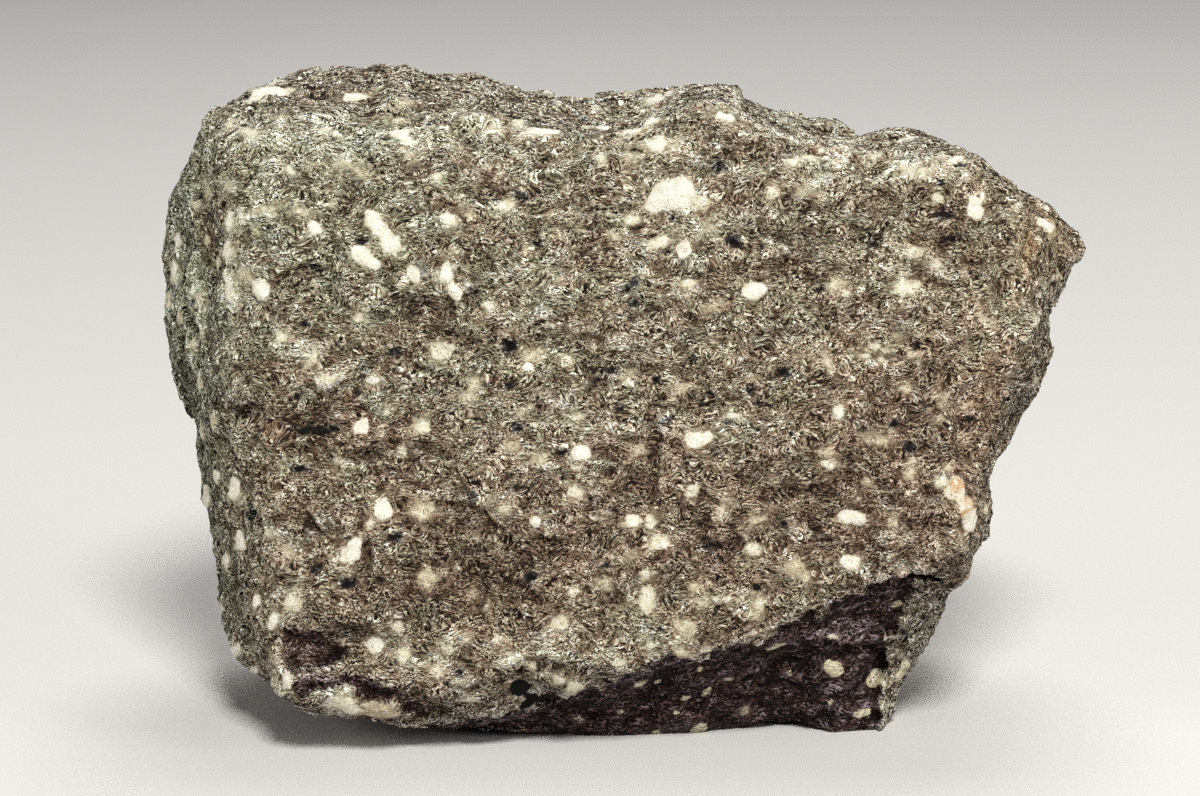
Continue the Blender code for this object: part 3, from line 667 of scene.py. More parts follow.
@dataclass(frozen=True)
class Scar:
    """A break seen from the front, sunk below the surface round it behind a crisp, ragged edge.

    Args:
        outline: Its corners on the picture plane, in millimetres.
        push: How far it is sunk: to the right, away and up.
        edge: The width over which the surface steps down.
        reach: The distance from the outline at which the surface is back where it was.
        slant: How many sides, from the first corner on, it starts level with and slants away from.
        slant_length: The length of that slant.
        ragged: How far the edge strays from the outline.
        pale: How much paler than the rest it is.
        warm: How much browner it is.
        violet: How much of the violet tint it has: partly the colour of the fresh break, partly painted
            shade.
        painted_lip_highlight: How much paler its crisp edge is, as a painted highlight.
        painted_lip_highlight_width: How wide that painted highlight is.
        behind: The greatest depth at which it acts.
        margin: How far outside its outline it still acts.
        turned_off: The depth part of a normal past which a surface faces away from the camera.
    """

    outline: tuple[tuple[float, float], ...]
    push: tuple[float, float, float]
    edge: float = 0.8
    reach: float = 60.0
    slant: int = 0
    slant_length: float = 6.0
    ragged: float = 0.7
    pale: float = 0.0
    warm: float = 0.0
    violet: float = 0.0
    painted_lip_highlight: float = 0.0
    painted_lip_highlight_width: float = 0.45
    behind: float = 24.0
    margin: float = 2.0
    turned_off: float = 0.3

    def inside(self, seen: np.ndarray) -> tuple[np.ndarray, np.ndarray]:
        """Finds how far inside the outline places on the picture plane lie, below 0 outside.

        Args:
            seen: The places, in millimetres.

        Returns:
            The distances from the whole outline and from the sides that it slants away from, in millimetres.
        """
        nearest = np.full(len(seen), 1e9)
        slanted = np.full(len(seen), 1e9)
        within = np.zeros(len(seen), bool)
        for side, (start, end) in enumerate(zip(self.outline, self.outline[1:] + self.outline[:1])):
            start, end = np.array(start), np.array(end)
            along = end - start
            share = np.clip((seen - start) @ along / (along @ along), 0.0, 1.0)
            away = np.linalg.norm(seen - start - share[:, None] * along, axis=1)
            nearest = np.minimum(nearest, away)
            if side < self.slant:
                slanted = np.minimum(slanted, away)
            if along[1]:
                crossed = (seen[:, 1] < start[1]) != (seen[:, 1] < end[1])
                within ^= crossed & (seen[:, 0] < start[0] + (seen[:, 1] - start[1]) * along[0] / along[1])
        return np.where(within, nearest, -nearest), slanted

    def sink(
        self, points: np.ndarray, normals: np.ndarray, seen: np.ndarray, tones: dict[str, np.ndarray]
    ) -> None:
        """Sinks the scar into the surface.

        Args:
            points: The vertices in millimetres, moved in place.
            normals: Their normals.
            seen: Where they show on the picture plane.
            tones: The broad tones by name, changed in place.
        """
        low = np.array(self.outline).min(axis=0) - self.margin
        high = np.array(self.outline).max(axis=0) + self.margin
        near = (points[:, 1] < self.behind) & (normals[:, 1] < self.turned_off)
        near = np.nonzero(near & (seen > low).all(axis=1) & (seen < high).all(axis=1))[0]
        inside, slanted = self.inside(seen[near])
        stray = noise_at(points[near], (2.6, 2.6, 1.8)) + 0.5 * noise_at(points[near], (1.0, 1.0, 0.8))
        inside += self.ragged * stray
        held = smooth_step(inside / self.edge)
        amount = held * (1.0 - smooth_step(inside / self.reach))
        amount = amount * np.minimum(slanted / self.slant_length, 1.0)
        points[near] += amount[:, None] * np.array(self.push)
        # The crisp edge gets a painted highlight.
        tones["pale"][near] += self.pale * held + self.painted_lip_highlight * np.exp(-((inside / self.painted_lip_highlight_width) ** 2))
        tones["warm"][near] += self.warm * held
        tones["violet"][near] += self.violet * held


SCARS = [
    # The undercut behind the lower edge of the front face, and its darker, deeper lower part; their darker,
    # violet colour is partly the fresh break's own and partly painted shade.
    Scar(
        (
            (-26.0, 1.2), (-24.7, 2.3), (-14.6, 3.1), (-11.6, 4.2), (-9.9, 6.1), (-5.5, 6.2), (-2.6, 7.5),
            (3.2, 9.2), (6.1, 10.4), (10.5, 10.9), (14.0, 12.3), (18.9, 13.0), (21.3, 15.0), (24.8, 17.0),
            (26.1, 16.2), (28.6, 18.5), (31.5, 19.6), (35.5, 21.2), (38.0, 21.3), (38.6, 19.0), (36.7, 14.8),
            (34.7, 12.2), (34.8, 9.5), (34.3, 6.5), (34.2, -6.0), (-26.0, -6.0),
        ),
        (0.0, 1.3, 0.2),
        edge=0.7, reach=12.0, ragged=1.1, pale=-0.12, warm=0.3, violet=0.75,
    ),
    Scar(
        (
            (-26.0, 1.2), (-24.7, 2.1), (-14.6, 2.7), (-11.1, 3.6), (-9.4, 5.6), (-5.5, 5.7), (-2.6, 7.0),
            (3.2, 8.7), (6.1, 9.9), (10.5, 10.4), (14.3, 11.8), (18.9, 12.5), (21.3, 13.0), (23.9, 13.7),
            (26.8, 12.7), (30.7, 12.9), (34.6, 12.1), (34.8, 9.5), (34.3, 6.5), (34.2, -6.0), (-26.0, -6.0),
        ),
        (0.0, 0.9, 0.2),
        edge=0.7, reach=12.0, ragged=0.8, pale=-0.1, violet=0.35,
    ),
    # The flake scar of the lower left corner, and the darker ledge under it; their darkening is painted shade
    # of the overhang, with the violet of a fresh break.
    Scar(
        (
            (-43.8, 14.4), (-41.6, 14.8), (-39.3, 14.7), (-36.8, 13.8), (-34.6, 12.0), (-35.8, 10.5),
            (-38.9, 9.1), (-43.4, 8.5), (-44.2, 11.7),
        ),
        (0.3, 2.2, 0.0),
        edge=1.2, slant=4, slant_length=4.0, ragged=1.0, pale=-0.12, warm=0.4, violet=0.6,
    ),
    Scar(
        (
            (-42.8, 8.7), (-37.4, 9.1), (-33.3, 8.5), (-29.4, 7.0), (-24.8, 4.9), (-24.8, 3.4), (-27.9, 3.1),
            (-28.7, 4.5), (-31.9, 4.9), (-33.9, 5.3), (-36.0, 6.4), (-38.9, 6.0), (-41.0, 4.5), (-43.0, 6.0),
        ),
        (0.0, 1.3, 0.0),
        edge=1.0, slant=4, slant_length=2.5, ragged=0.9, pale=-0.16, warm=0.4, violet=0.8,
    ),
    # The parting in the lower right edge, darkened as painted shadow in the crack.
    Scar(
        ((37.0, 22.2), (41.9, 21.0), (42.4, 20.1), (37.6, 21.0)),
        (0.0, 1.6, 0.2),
        edge=0.4, ragged=0.1, pale=-0.4,
    ),
    # The small pit below the largest eyes, darkened as painted shade.
    Scar(
        ((7.6, 64.0), (9.1, 64.0), (9.3, 62.8), (7.8, 62.6)),
        (0.0, 0.9, 0.0),
        edge=0.6, ragged=0.1, pale=-0.15,
    ),
    # The two bowls along the top edge, behind their crisp lower lips, which get a painted highlight.
    Scar(
        (
            (-10.5, 84.5), (-6.6, 82.4), (-3.5, 80.3), (-1.2, 79.3), (1.8, 79.2), (4.8, 81.1), (6.6, 83.0),
            (8.6, 85.6), (8.0, 92.0), (-12.0, 92.0),
        ),
        (0.0, 0.7, -1.1),
        edge=1.0, ragged=0.25, pale=0.08, warm=-0.1, painted_lip_highlight=0.16, behind=80.0,
    ),
    Scar(
        ((15.0, 82.0), (18.5, 79.8), (23.0, 77.9), (29.0, 77.6), (33.5, 79.0), (36.0, 90.0), (16.0, 90.0)),
        (0.0, 0.6, -0.9),
        edge=1.0, ragged=0.25, pale=0.05, warm=-0.1, painted_lip_highlight=0.14, behind=80.0,
    ),
    # The buff break of the spur.
    Scar(
        ((52.4, 70.0), (55.5, 69.6), (59.0, 67.8), (61.5, 64.6), (57.5, 60.6), (53.4, 58.6), (52.0, 64.5)),
        (-0.2, 0.5, 0.0),
        edge=0.7, ragged=0.5, pale=-0.06, warm=0.2, behind=34.0,
    ),
    # The hollow under the spur.
    Scar(
        ((57.0, 62.5), (60.5, 62.5), (60.5, 55.8), (56.2, 55.8)),
        (-0.8, 0.4, 0.0),
        edge=0.8, ragged=0.2, behind=34.0,
    ),
]


@dataclass(frozen=True)
class Patch:
    """A broad patch of the matrix that is paler, warmer or rustier than the rest.

    Args:
        middle: Its middle in the foliation frame.
        radii: How far it reaches along, away and up.
        pale: How much paler it is.
        warm: How much browner it is.
        rust: How much rust it has.
    """

    middle: tuple[float, float, float]
    radii: tuple[float, float, float]
    pale: float = 0.0
    warm: float = 0.0
    rust: float = 0.0

    def spread(self, points: np.ndarray, tones: dict[str, np.ndarray]) -> None:
        """Adds the patch to the tones.

        Args:
            points: The vertices in millimetres.
            tones: The tones by name, changed in place.
        """
        reach = (points - np.array(self.middle)) / np.array(self.radii)
        weight = np.exp(-((reach**2).sum(axis=1)))
        for name, amount in (("pale", self.pale), ("warm", self.warm), ("rust", self.rust)):
            tones[name] += amount * weight


PATCHES = [
    # The creamy band along the top left rim, and the olive ground under it.
    Patch((-37.0, 3.0, 79.5), (20.0, 10.0, 4.5), pale=0.12, warm=-0.6),
    Patch((-46.0, 3.0, 72.0), (7.0, 9.0, 6.0), pale=0.03, warm=-0.6),
    Patch((-36.0, 3.0, 64.0), (16.0, 12.0, 10.0), pale=-0.01, warm=-0.7),
    # Cream ground round the large eyes.
    Patch((7.0, 2.0, 68.0), (7.0, 8.0, 7.5), pale=0.1, warm=-0.2),
    Patch((32.0, 4.0, 74.5), (14.0, 9.0, 2.6), pale=0.1, warm=-0.2),
    Patch((36.0, 2.0, 59.0), (7.0, 8.0, 5.0), pale=0.04, warm=-0.3),
    Patch((-10.0, 2.0, 57.0), (4.0, 8.0, 4.0), pale=0.1, warm=-0.5),
    Patch((-16.0, 2.0, 48.0), (7.0, 8.0, 4.0), pale=0.06, warm=-0.2),
    # Dark streaky bands.
    Patch((-38.0, 2.0, 41.0), (12.0, 8.0, 3.0), pale=-0.14, warm=0.5),
    Patch((-26.0, 2.0, 56.0), (8.0, 8.0, 4.0), pale=-0.12, warm=0.2),
    Patch((-22.0, 2.0, 19.0), (14.0, 8.0, 4.0), pale=-0.14, warm=0.2),
    Patch((-13.0, 2.0, 33.0), (8.0, 8.0, 2.0), pale=-0.1, warm=0.3),
    Patch((14.0, 2.0, 45.0), (9.0, 8.0, 2.2), pale=-0.09, warm=-0.2),
    Patch((42.0, 2.0, 66.0), (5.0, 8.0, 3.6), pale=-0.16, warm=0.2),
    Patch((24.0, 2.0, 76.5), (14.0, 9.0, 1.6), pale=-0.08, warm=0.3),
    Patch((22.0, 2.0, 65.0), (12.0, 9.0, 9.0), pale=-0.05, warm=0.1),
    # Gritty ground along the foot, pale and dark; the two darkest patches are painted shade.
    Patch((4.0, 2.0, 15.0), (14.0, 8.0, 4.5), pale=0.05, warm=-0.3),
    Patch((-19.5, 2.0, 5.8), (5.0, 6.0, 2.6), pale=0.06, warm=-0.3),
    Patch((-29.0, 2.0, 11.5), (6.0, 8.0, 3.0), pale=0.08, warm=-0.2),
    Patch((-38.5, 2.0, 5.5), (6.0, 6.0, 2.2), pale=0.08, warm=-0.2),
    # These two deepen the painted shade under the overhang: on the ledge, and in the flake scar.
    Patch((-26.5, 2.0, 4.2), (3.5, 6.0, 2.0), pale=-0.16, warm=0.2),
    Patch((-36.0, 2.0, 10.5), (4.0, 6.0, 3.4), pale=-0.1, warm=0.1),
    # The ochre band down the right shoulder, and the buff break beyond it.
    Patch((53.3, 6.0, 63.5), (1.8, 9.0, 5.0), pale=0.13, rust=0.45),
    Patch((56.5, 12.0, 66.0), (4.5, 9.0, 5.0), pale=0.05, rust=0.3),
    Patch((50.0, 8.0, 74.0), (10.0, 9.0, 4.0), pale=0.02, rust=0.2),
    Patch((48.0, 4.0, 45.0), (3.5, 9.0, 14.0), rust=0.15),
    # The break at the foot of the right edge: greyer, and paler as painted light on a face turned down and to
    # the right.
    Patch((38.8, 10.0, 12.0), (3.0, 9.0, 6.0), pale=0.06, warm=-0.5),
    # Browner ground beside the left rim, darkened as painted shadow of a notch there.
    Patch((-54.3, 8.0, 66.5), (2.2, 9.0, 5.5), pale=-0.14, warm=1.3),
    # Lower half, browner and darker.
    Patch((5.0, 2.0, 26.0), (50.0, 12.0, 14.0), pale=-0.09, warm=0.5),
    Patch((38.0, 2.0, 40.0), (14.0, 10.0, 16.0), pale=-0.08, warm=0.6),
    # Left side, cooler and darker.
    Patch((-57.0, 20.0, 45.0), (7.5, 22.0, 44.0), pale=-0.04, warm=-1.3),
    # Grey-green, paler ground along the left outline.
    Patch((-58.0, 12.0, 60.0), (3.0, 14.0, 14.0), pale=0.15, warm=-0.8),
    Patch((-51.5, 3.0, 54.0), (3.0, 6.0, 8.0), pale=0.06, warm=-0.4),
]


@dataclass(frozen=True)
class Mottle:
    """An uneven pattern in the stone.

    Args:
        lengths: The size of its lumps along, away and up, in millimetres.
        detail: How many finer patterns lie on it.
        broken: How strong the finer ones are.
        curl: How far it is twisted into curls.
        seed: What makes it unlike another of the same size.
    """

    lengths: tuple[float, float, float]
    detail: float = 2.0
    broken: float = 0.5
    curl: float = 0.0
    seed: float = 0.0

    def weave(self, tree: bpy.types.NodeTree, place: Source) -> bpy.types.Node:
        """Adds the pattern to a node tree.

        Args:
            tree: The node tree.
            place: The place in millimetres in the foliation frame.

        Returns:
            The noise node.
        """
        scale = tuple(1.0 / length for length in self.lengths)
        scaled = add_node(tree, Work.VECTOR_TIMES, place, scale)
        sizes = {"Detail": self.detail, "Roughness": self.broken, "Distortion": self.curl}
        return add_node(
            tree, "ShaderNodeTexNoise", scaled, self.seed, 1.0, named=sizes, noise_dimensions="4D"
        )

    def stray(self, tree: bpy.types.NodeTree, place: Source) -> bpy.types.Node:
        """Adds the pattern as a vector that strays from 0 each way."""
        return add_node(tree, Work.VECTOR_LESS, self.weave(tree, place).outputs["Color"], HALF)

    def swing(self, tree: bpy.types.NodeTree, place: Source) -> bpy.types.Node:
        """Adds the pattern as a value that swings about 0."""
        return add_node(tree, Work.LESS, self.weave(tree, place), 0.5)


@dataclass(frozen=True)
class Hackle:
    """Small flat breaks, each turned its own way.

    Args:
        name: What they are called.
        lengths: Their size along, away and up, in millimetres.
        height: How far they stand out, in millimetres.
        stray: How crooked their outlines are.
        bay: The size of the crooks in an outline, as a part of the break.
    """

    name: str
    lengths: tuple[float, float, float]
    height: float
    stray: float = 0.35
    bay: float = 0.6

    def weave(self, tree: bpy.types.NodeTree, place: Source) -> bpy.types.NodeSocket:
        """Adds the breaks to a node tree.

        Args:
            tree: The node tree.
            place: The place in millimetres in the foliation frame.

        Returns:
            The height over the middle of each break, from about -0.3 to 0.3.
        """
        scale = tuple(1.0 / length for length in self.lengths)
        wander = Mottle(tuple(self.bay * length for length in self.lengths), 1.0).stray(tree, place)
        scaled = add_node(tree, Work.VECTOR_TIMES, place, scale)
        crooked = add_node(tree, Work.VECTOR_TIMES_PLUS, wander, (self.stray,) * 3, scaled)
        cells = add_node(tree, "ShaderNodeTexVoronoi", named={"Vector": crooked, "Scale": 1.0})
        off = add_node(tree, Work.VECTOR_LESS, crooked, cells.outputs["Position"])
        tilt = add_node(tree, Work.VECTOR_LESS, cells.outputs["Color"], HALF)
        return add_node(tree, "ShaderNodeVectorMath", off, tilt, operation="DOT_PRODUCT").outputs["Value"]


@dataclass(frozen=True)
class ReliefTree:
    """The geometry nodes that break up the surface: flat breaks and grain, stretched along the foliation.

    Args:
        foliation: The stone's foliation frame.
        hackles: The flat breaks, from broad to small.
        grain: The pattern of the finest relief.
        grain_height: How far that stands out, in millimetres.
        eye_calm: How much of the relief an eye takes away.
        clot_depth: How deep a mica clot lies, in millimetres.
        clear_height: The height over the resting face at which the whole relief has set in.
    """

    foliation: FoliationFrame
    hackles: tuple[Hackle, ...] = (
        Hackle("Broad breaks", (7.5, 3.4, 4.6), 1.05),
        Hackle("Small breaks", (3.2, 1.5, 2.3), 0.7),
        Hackle("Grain breaks", (1.6, 0.9, 1.3), 0.32),
    )
    grain: Mottle = Mottle((2.0, 1.1, 1.5), 2.0, 0.6, 0.4, 3.7)
    grain_height: float = 0.34
    eye_calm: float = 0.6
    clot_depth: float = 0.3
    clear_height: float = 2.0

    def sizes(self) -> dict[str, float]:
        """Gathers the tree's sizes.

        Returns:
            The sizes in millimetres, by the names of their inputs.
        """
        heights = {hackle.name: hackle.height for hackle in self.hackles}
        others = {"Grain": self.grain_height, "Clot depth": self.clot_depth}
        return {**heights, **others, "Clear height": self.clear_height}

    def build(self) -> bpy.types.NodeTree:
        """Builds the tree.

        Returns:
            The node tree, with its sizes and the stone's finish as named inputs.
        """
        tree = bpy.data.node_groups.new("broken_relief", "GeometryNodeTree")
        floats = [(name, "Float") for name in self.sizes()]
        for name, kind in [("Geometry", "Geometry"), *floats, ("Finish", "Material")]:
            tree.interface.new_socket(name, in_out="INPUT", socket_type=f"NodeSocket{kind}")
        tree.interface.new_socket("Geometry", in_out="OUTPUT", socket_type="NodeSocketGeometry")
        start = add_node(tree, "NodeGroupInput").outputs
        height = self.rise(tree, start)
        normal = add_node(tree, "GeometryNodeInputNormal")
        offset = add_node(tree, "ShaderNodeVectorMath", normal, named={"Scale": height}, operation="SCALE")
        offset = add_node(tree, Work.VECTOR_TIMES, offset, (MM, MM, MM))
        moves = {"Geometry": start["Geometry"], "Offset": offset}
        moved = add_node(tree, "GeometryNodeSetPosition", named=moves)
        keeps = {"Geometry": moved, "Name": "relief", "Value": height}
        kept = add_node(
            tree, "GeometryNodeStoreNamedAttribute", named=keeps, data_type="FLOAT", domain="POINT"
        )
        real = add_node(tree, "GeometryNodeRealizeInstances", kept)
        dress = {"Geometry": real, "Material": start["Finish"]}
        add_node(tree, "NodeGroupOutput", add_node(tree, "GeometryNodeSetMaterial", named=dress))
        return tree

    def rise(self, tree: bpy.types.NodeTree, start: bpy.types.NodeOutputs) -> bpy.types.Node:
        """Adds the nodes that say how far each vertex rises.

        Args:
            tree: The node tree.
            start: The tree's named inputs.

        Returns:
            The height in millimetres.
        """
        here = add_node(tree, "GeometryNodeInputPosition")
        lean = {"Angle": self.foliation.lean}
        turned = add_node(tree, "ShaderNodeVectorRotate", here, named=lean, rotation_type="X_AXIS")
        place = add_node(tree, Work.VECTOR_TIMES, turned, (1 / MM, 1 / MM, 1 / MM))
        height = add_node(tree, Work.TIMES, self.grain.swing(tree, place), start["Grain"])
        for hackle in self.hackles:
            height = add_node(tree, Work.TIMES_PLUS, hackle.weave(tree, place), start[hackle.name], height)
        eye, proud, clot = (
            add_node(
                tree, "GeometryNodeInputNamedAttribute", named={"Name": name}, data_type="FLOAT"
            ).outputs["Attribute"]
            for name in ("eye", "eye_proud", "clot")
        )
        within = add_node(tree, Work.EASE, eye, -0.2, 0.4)
        calm = add_node(tree, Work.TIMES_PLUS, within, -self.eye_calm, 1.0)
        height = add_node(tree, Work.TIMES, height, calm)
        height = add_node(tree, Work.TIMES_PLUS, within, proud, height)
        sunk = add_node(tree, Work.TIMES, add_node(tree, Work.EASE, clot, -0.2, 0.5), start["Clot depth"])
        height = add_node(tree, Work.LESS, height, sunk)
        level = add_node(tree, "ShaderNodeSeparateXYZ", here).outputs["Z"]
        level = add_node(tree, Work.TIMES, level, 1 / MM)
        clear = add_node(tree, Work.EASE, level, 0.0, start["Clear height"])
        return add_node(tree, Work.TIMES, height, clear)


@dataclass(frozen=True)
class PlacedGrain:
    """A grain in the foliation frame.

    Args:
        middle: Its middle.
        halves: Its half sizes along, away and up.
        turn: Its turn about the depth, as an angle.
        look: How it looks.
    """

    middle: np.ndarray
    halves: tuple[float, float, float]
    turn: float
    look: EyeLook


@dataclass(frozen=True)
class HiddenEyes:
    """The eyes of the sides and the back, scattered at random.

    Args:
        tries: How many are tried.
        least: The length of the smallest, in millimetres.
        spread: How much longer the longest is, in millimetres.
        rare: How much rarer the long ones are, as a power.
        kinds: The kinds of eye and the share of each.
        tilt: The most that one turns from the foliation, as an angle.
        width: The least and the greatest width, as a part of the length.
        thickness: The half thickness, as a part of the length.
        sunk: The most that the middle lies inside the surface, as a part of the width.
        front: The depth part of a normal below which a surface belongs to the front.
    """

    tries: int = 620
    least: float = 1.6
    spread: float = 4.2
    rare: float = 2.2
    kinds: tuple[tuple[GrainKind, float], ...] = ((B, 0.25), (C, 0.35), (F, 0.2), (S, 0.2))
    tilt: float = 0.5
    width: tuple[float, float] = (0.55, 0.9)
    thickness: float = 0.26
    sunk: float = 0.3
    front: float = -0.04

    def scatter(self, points: np.ndarray, normals: np.ndarray, seed: int) -> list[PlacedGrain]:
        """Scatters the eyes.

        Args:
            points: The vertices in millimetres.
            normals: Their normals.
            seed: Where the random numbers start.

        Returns:
            The eyes in the foliation frame.
        """
        rng = random.Random(seed)
        names, shares = zip(*self.kinds)
        found = []
        for _ in range(self.tries):
            at = rng.randrange(len(points))
            length = self.least + self.spread * rng.random() ** self.rare
            kind = rng.choices(names, shares)[0]
            turn = rng.uniform(-self.tilt, self.tilt)
            width = length * rng.uniform(*self.width)
            if normals[at][1] < self.front:
                continue
            middle = points[at] - normals[at] * rng.uniform(0.0, self.sunk) * width
            halves = (length / 2, self.thickness * length, width / 2)
            found.append(PlacedGrain(middle, halves, turn, kind.value))
        return found


@dataclass(frozen=True)
class SmallClots:
    """Small dark clots of mica all over the stone.

    Args:
        count: How many there are.
        least: The length of the smallest, in millimetres.
        spread: How much longer the longest is, in millimetres.
        tilt: The most that one turns from the foliation, as an angle.
        thickness: The half thickness, as a part of the length.
        half_width: The half width, as a part of the length.
    """

    count: int = 180
    least: float = 0.8
    spread: float = 1.9
    tilt: float = 0.6
    thickness: float = 0.22
    half_width: float = 0.3

    def scatter(self, points: np.ndarray, seed: int) -> list[PlacedGrain]:
        """Scatters the clots.

        Args:
            points: The vertices in millimetres.
            seed: Where the random numbers start.

        Returns:
            The clots in the foliation frame.
        """
        rng = random.Random(seed)
        found = []
        for _ in range(self.count):
            at = rng.randrange(len(points))
            length = self.least + self.spread * rng.random() ** 2
            halves = (length / 2, self.thickness * length, self.half_width * length)
            found.append(PlacedGrain(points[at], halves, rng.uniform(-self.tilt, self.tilt), C.value))
        return found


@dataclass
class BrokenStone:
    """The stone as it shows: the solid's form with its broken, grainy surface and its feldspar eyes.

    Args:
        foliation: The stone's foliation frame.
        camera: Where the grains of the front are seen from.
        cell: The size of the mesh's cells, in millimetres.
        calm_rounds: How often the solid's facets are evened out.
        calm_in: How far a vertex goes towards its neighbours.
        calm_out: How far it goes back, so that the form keeps its size.
        foot: The height over the resting face at which the breaks have set in, in metres.
        lumps: The middle-sized lumps.
        chisel: The blows that break them.
        wander_length: The size of the bays in a grain's outline.
        wander: How far the bays reach, as a part of the grain.
        flat_reach: The least and the greatest distance of a grain's flat sides, as a part of its radius.
        far: The distance outside a grain past which no vertex minds it, in millimetres.
        nowhere: The distance inside a grain that a vertex far from them all is given, in millimetres.
        miss_depth: How deep a grain whose line of sight misses the outline is looked for, in millimetres.
        deep_share: How deep a rounded grain is, as a part of its width.
        hidden_eyes: The eyes outside the front face.
        small_clots: The small mica clots.
        edge_rounds: How many rounds of averaging make the surroundings that a vertex is set against.
        seed: Where the random numbers start.
        triangles: The most that the finished piece has.
    """

    foliation: FoliationFrame
    camera: PhotoCamera
    cell: float = 0.53
    calm_rounds: int = 14
    calm_in: float = 0.5
    calm_out: float = -0.53
    foot: float = 4.0 * MM
    lumps: Lumps = Lumps()
    chisel: Chisel = Chisel()
    wander_length: float = 2.4
    wander: float = 0.3
    flat_reach: tuple[float, float] = (0.62, 0.95)
    far: float = 4.0
    nowhere: float = -6.0
    miss_depth: float = 6.0
    deep_share: float = 0.8
    hidden_eyes: HiddenEyes = HiddenEyes()
    small_clots: SmallClots = SmallClots()
    edge_rounds: int = 10
    seed: int = 11
    triangles: int = 198_000

    def build(self, node: bpy.types.Object, finish: bpy.types.Material) -> bpy.types.Object:
        """Builds the whole stone.

        Args:
            node: The solid's node.
            finish: The stone's finish.

        Returns:
            The finished piece.
        """
        mesh = self.recast(node)
        self.calm(mesh)
        tones = self.break_up(mesh)
        self.place_grains(mesh, tones)
        rough = self.roughen(mesh, finish)
        self.mark_edges(rough)
        return self.thin(rough)

    def recast(self, node: bpy.types.Object) -> bpy.types.Mesh:
        """Recasts the solid in small even cells.

        Args:
            node: The solid's node.

        Returns:
            A mesh of small quads over the same form.
        """
        work = bmesh.new()
        work.from_mesh(node.data)
        bmesh.ops.remove_doubles(work, verts=work.verts, dist=1e-7)
        joined = bpy.data.meshes.new("stone_form")
        work.to_mesh(joined)
        work.free()
        form = add_object("stone_form", joined)
        remesh = form.modifiers.new("small_cells", "REMESH")
        remesh.mode = "VOXEL"
        remesh.voxel_size = self.cell * MM
        small = plain_result(form)
        bpy.data.objects.remove(form)
        bpy.data.meshes.remove(joined)
        return small

    def calm(self, mesh: bpy.types.Mesh) -> None:
        """Takes the solid's facets out of the mesh without shrinking it, and keeps its resting face flat.

        Args:
            mesh: The mesh of small cells, changed in place.
        """
        places = read_vectors(mesh.vertices, "co")
        one, other = edge_ends(mesh)
        degree = np.bincount(one, minlength=len(places))[:, None]
        resting = places[:, 2] < RESTING
        for step in range(2 * self.calm_rounds):
            share = self.calm_out if step % 2 else self.calm_in
            places += share * (neighbour_means(places, one, other, degree) - places)
            places[resting, 2] = 0.0
        mesh.vertices.foreach_set("co", places.ravel())
        mesh.update()

    def break_up(self, mesh: bpy.types.Mesh) -> dict[str, np.ndarray]:
        """Gives the form its lumps, its flat breaks and its scars, down to just above the resting face.

        Args:
            mesh: The calmed mesh, changed in place.

        Returns:
            How pale, warm, rusty and violet the scars make each vertex, by name, and 0 for its side.
        """
        world = read_vectors(mesh.vertices, "co")
        faces = corners_of(mesh)
        points = self.foliation.points(world)
        normals = vertex_normals(points, faces)
        free = smooth_step(world[:, 2] / self.foot)
        points += normals * (self.lumps.rise(points) * free)[:, None]
        self.chisel.strike(points, vertex_normals(points, faces), free)
        normals = vertex_normals(points, faces)
        tones = {name: np.zeros(len(points)) for name in ("pale", "warm", "rust", "violet", "side")}
        for scar in SCARS:
            scar.sink(points, normals, self.camera.seen_at(points), tones)
        places = self.foliation.world_points(points)
        places[world[:, 2] <= RESTING, 2] = 0.0
        write_places(mesh, places)
        mesh.update()
        return tones

    def place_grains(self, mesh: bpy.types.Mesh, tones: dict[str, np.ndarray]) -> None:
        """Writes each vertex's distance to the grains, and the broad tones, into the mesh.

        Args:
            mesh: The broken mesh.
            tones: The tones of the scars by name.
        """
        points = self.foliation.points(read_vectors(mesh.vertices, "co"))
        faces = corners_of(mesh)
        normals = vertex_normals(points, faces)
        tree = BVHTree.FromPolygons(points.tolist(), faces.tolist())
        bays = noise_at(points, [self.wander_length] * 3)
        bays += 0.5 * noise_at(points, [0.4 * self.wander_length] * 3)
        hidden = self.hidden_eyes.scatter(points, normals, self.seed)
        distance, looks = self.stamp(points, bays, self.seen_grains(tree, EYES + LENSES) + hidden)
        write_values(mesh, "eye", distance)
        small = self.small_clots.scatter(points, self.seed + 1)
        distance, _ = self.stamp(points, bays, self.seen_grains(tree, CLOTS) + small)
        write_values(mesh, "clot", distance)
        self.add_patches(points, normals, tones)
        for name, values in {**looks, **tones}.items():
            write_values(mesh, name, values)

    def stamp(
        self, points: np.ndarray, bays: np.ndarray, grains: Sequence[PlacedGrain]
    ) -> tuple[np.ndarray, dict[str, np.ndarray]]:
        """Finds how deep each vertex lies in the nearest grain, and how that grain looks.

        Args:
            points: The vertices in millimetres.
            bays: Noise at each vertex, for the uneven outlines.
            grains: The grains.

        Returns:
            The distance inside a grain, below 0 outside, and the looks by the name of their attribute.
        """
        best = np.full(len(points), self.nowhere)
        names = ("eye_white", "eye_proud", "eye_feather", "eye_stain")
        looks = {name: np.zeros(len(points)) for name in names}
        rng = np.random.default_rng(self.seed)
        for grain in grains:
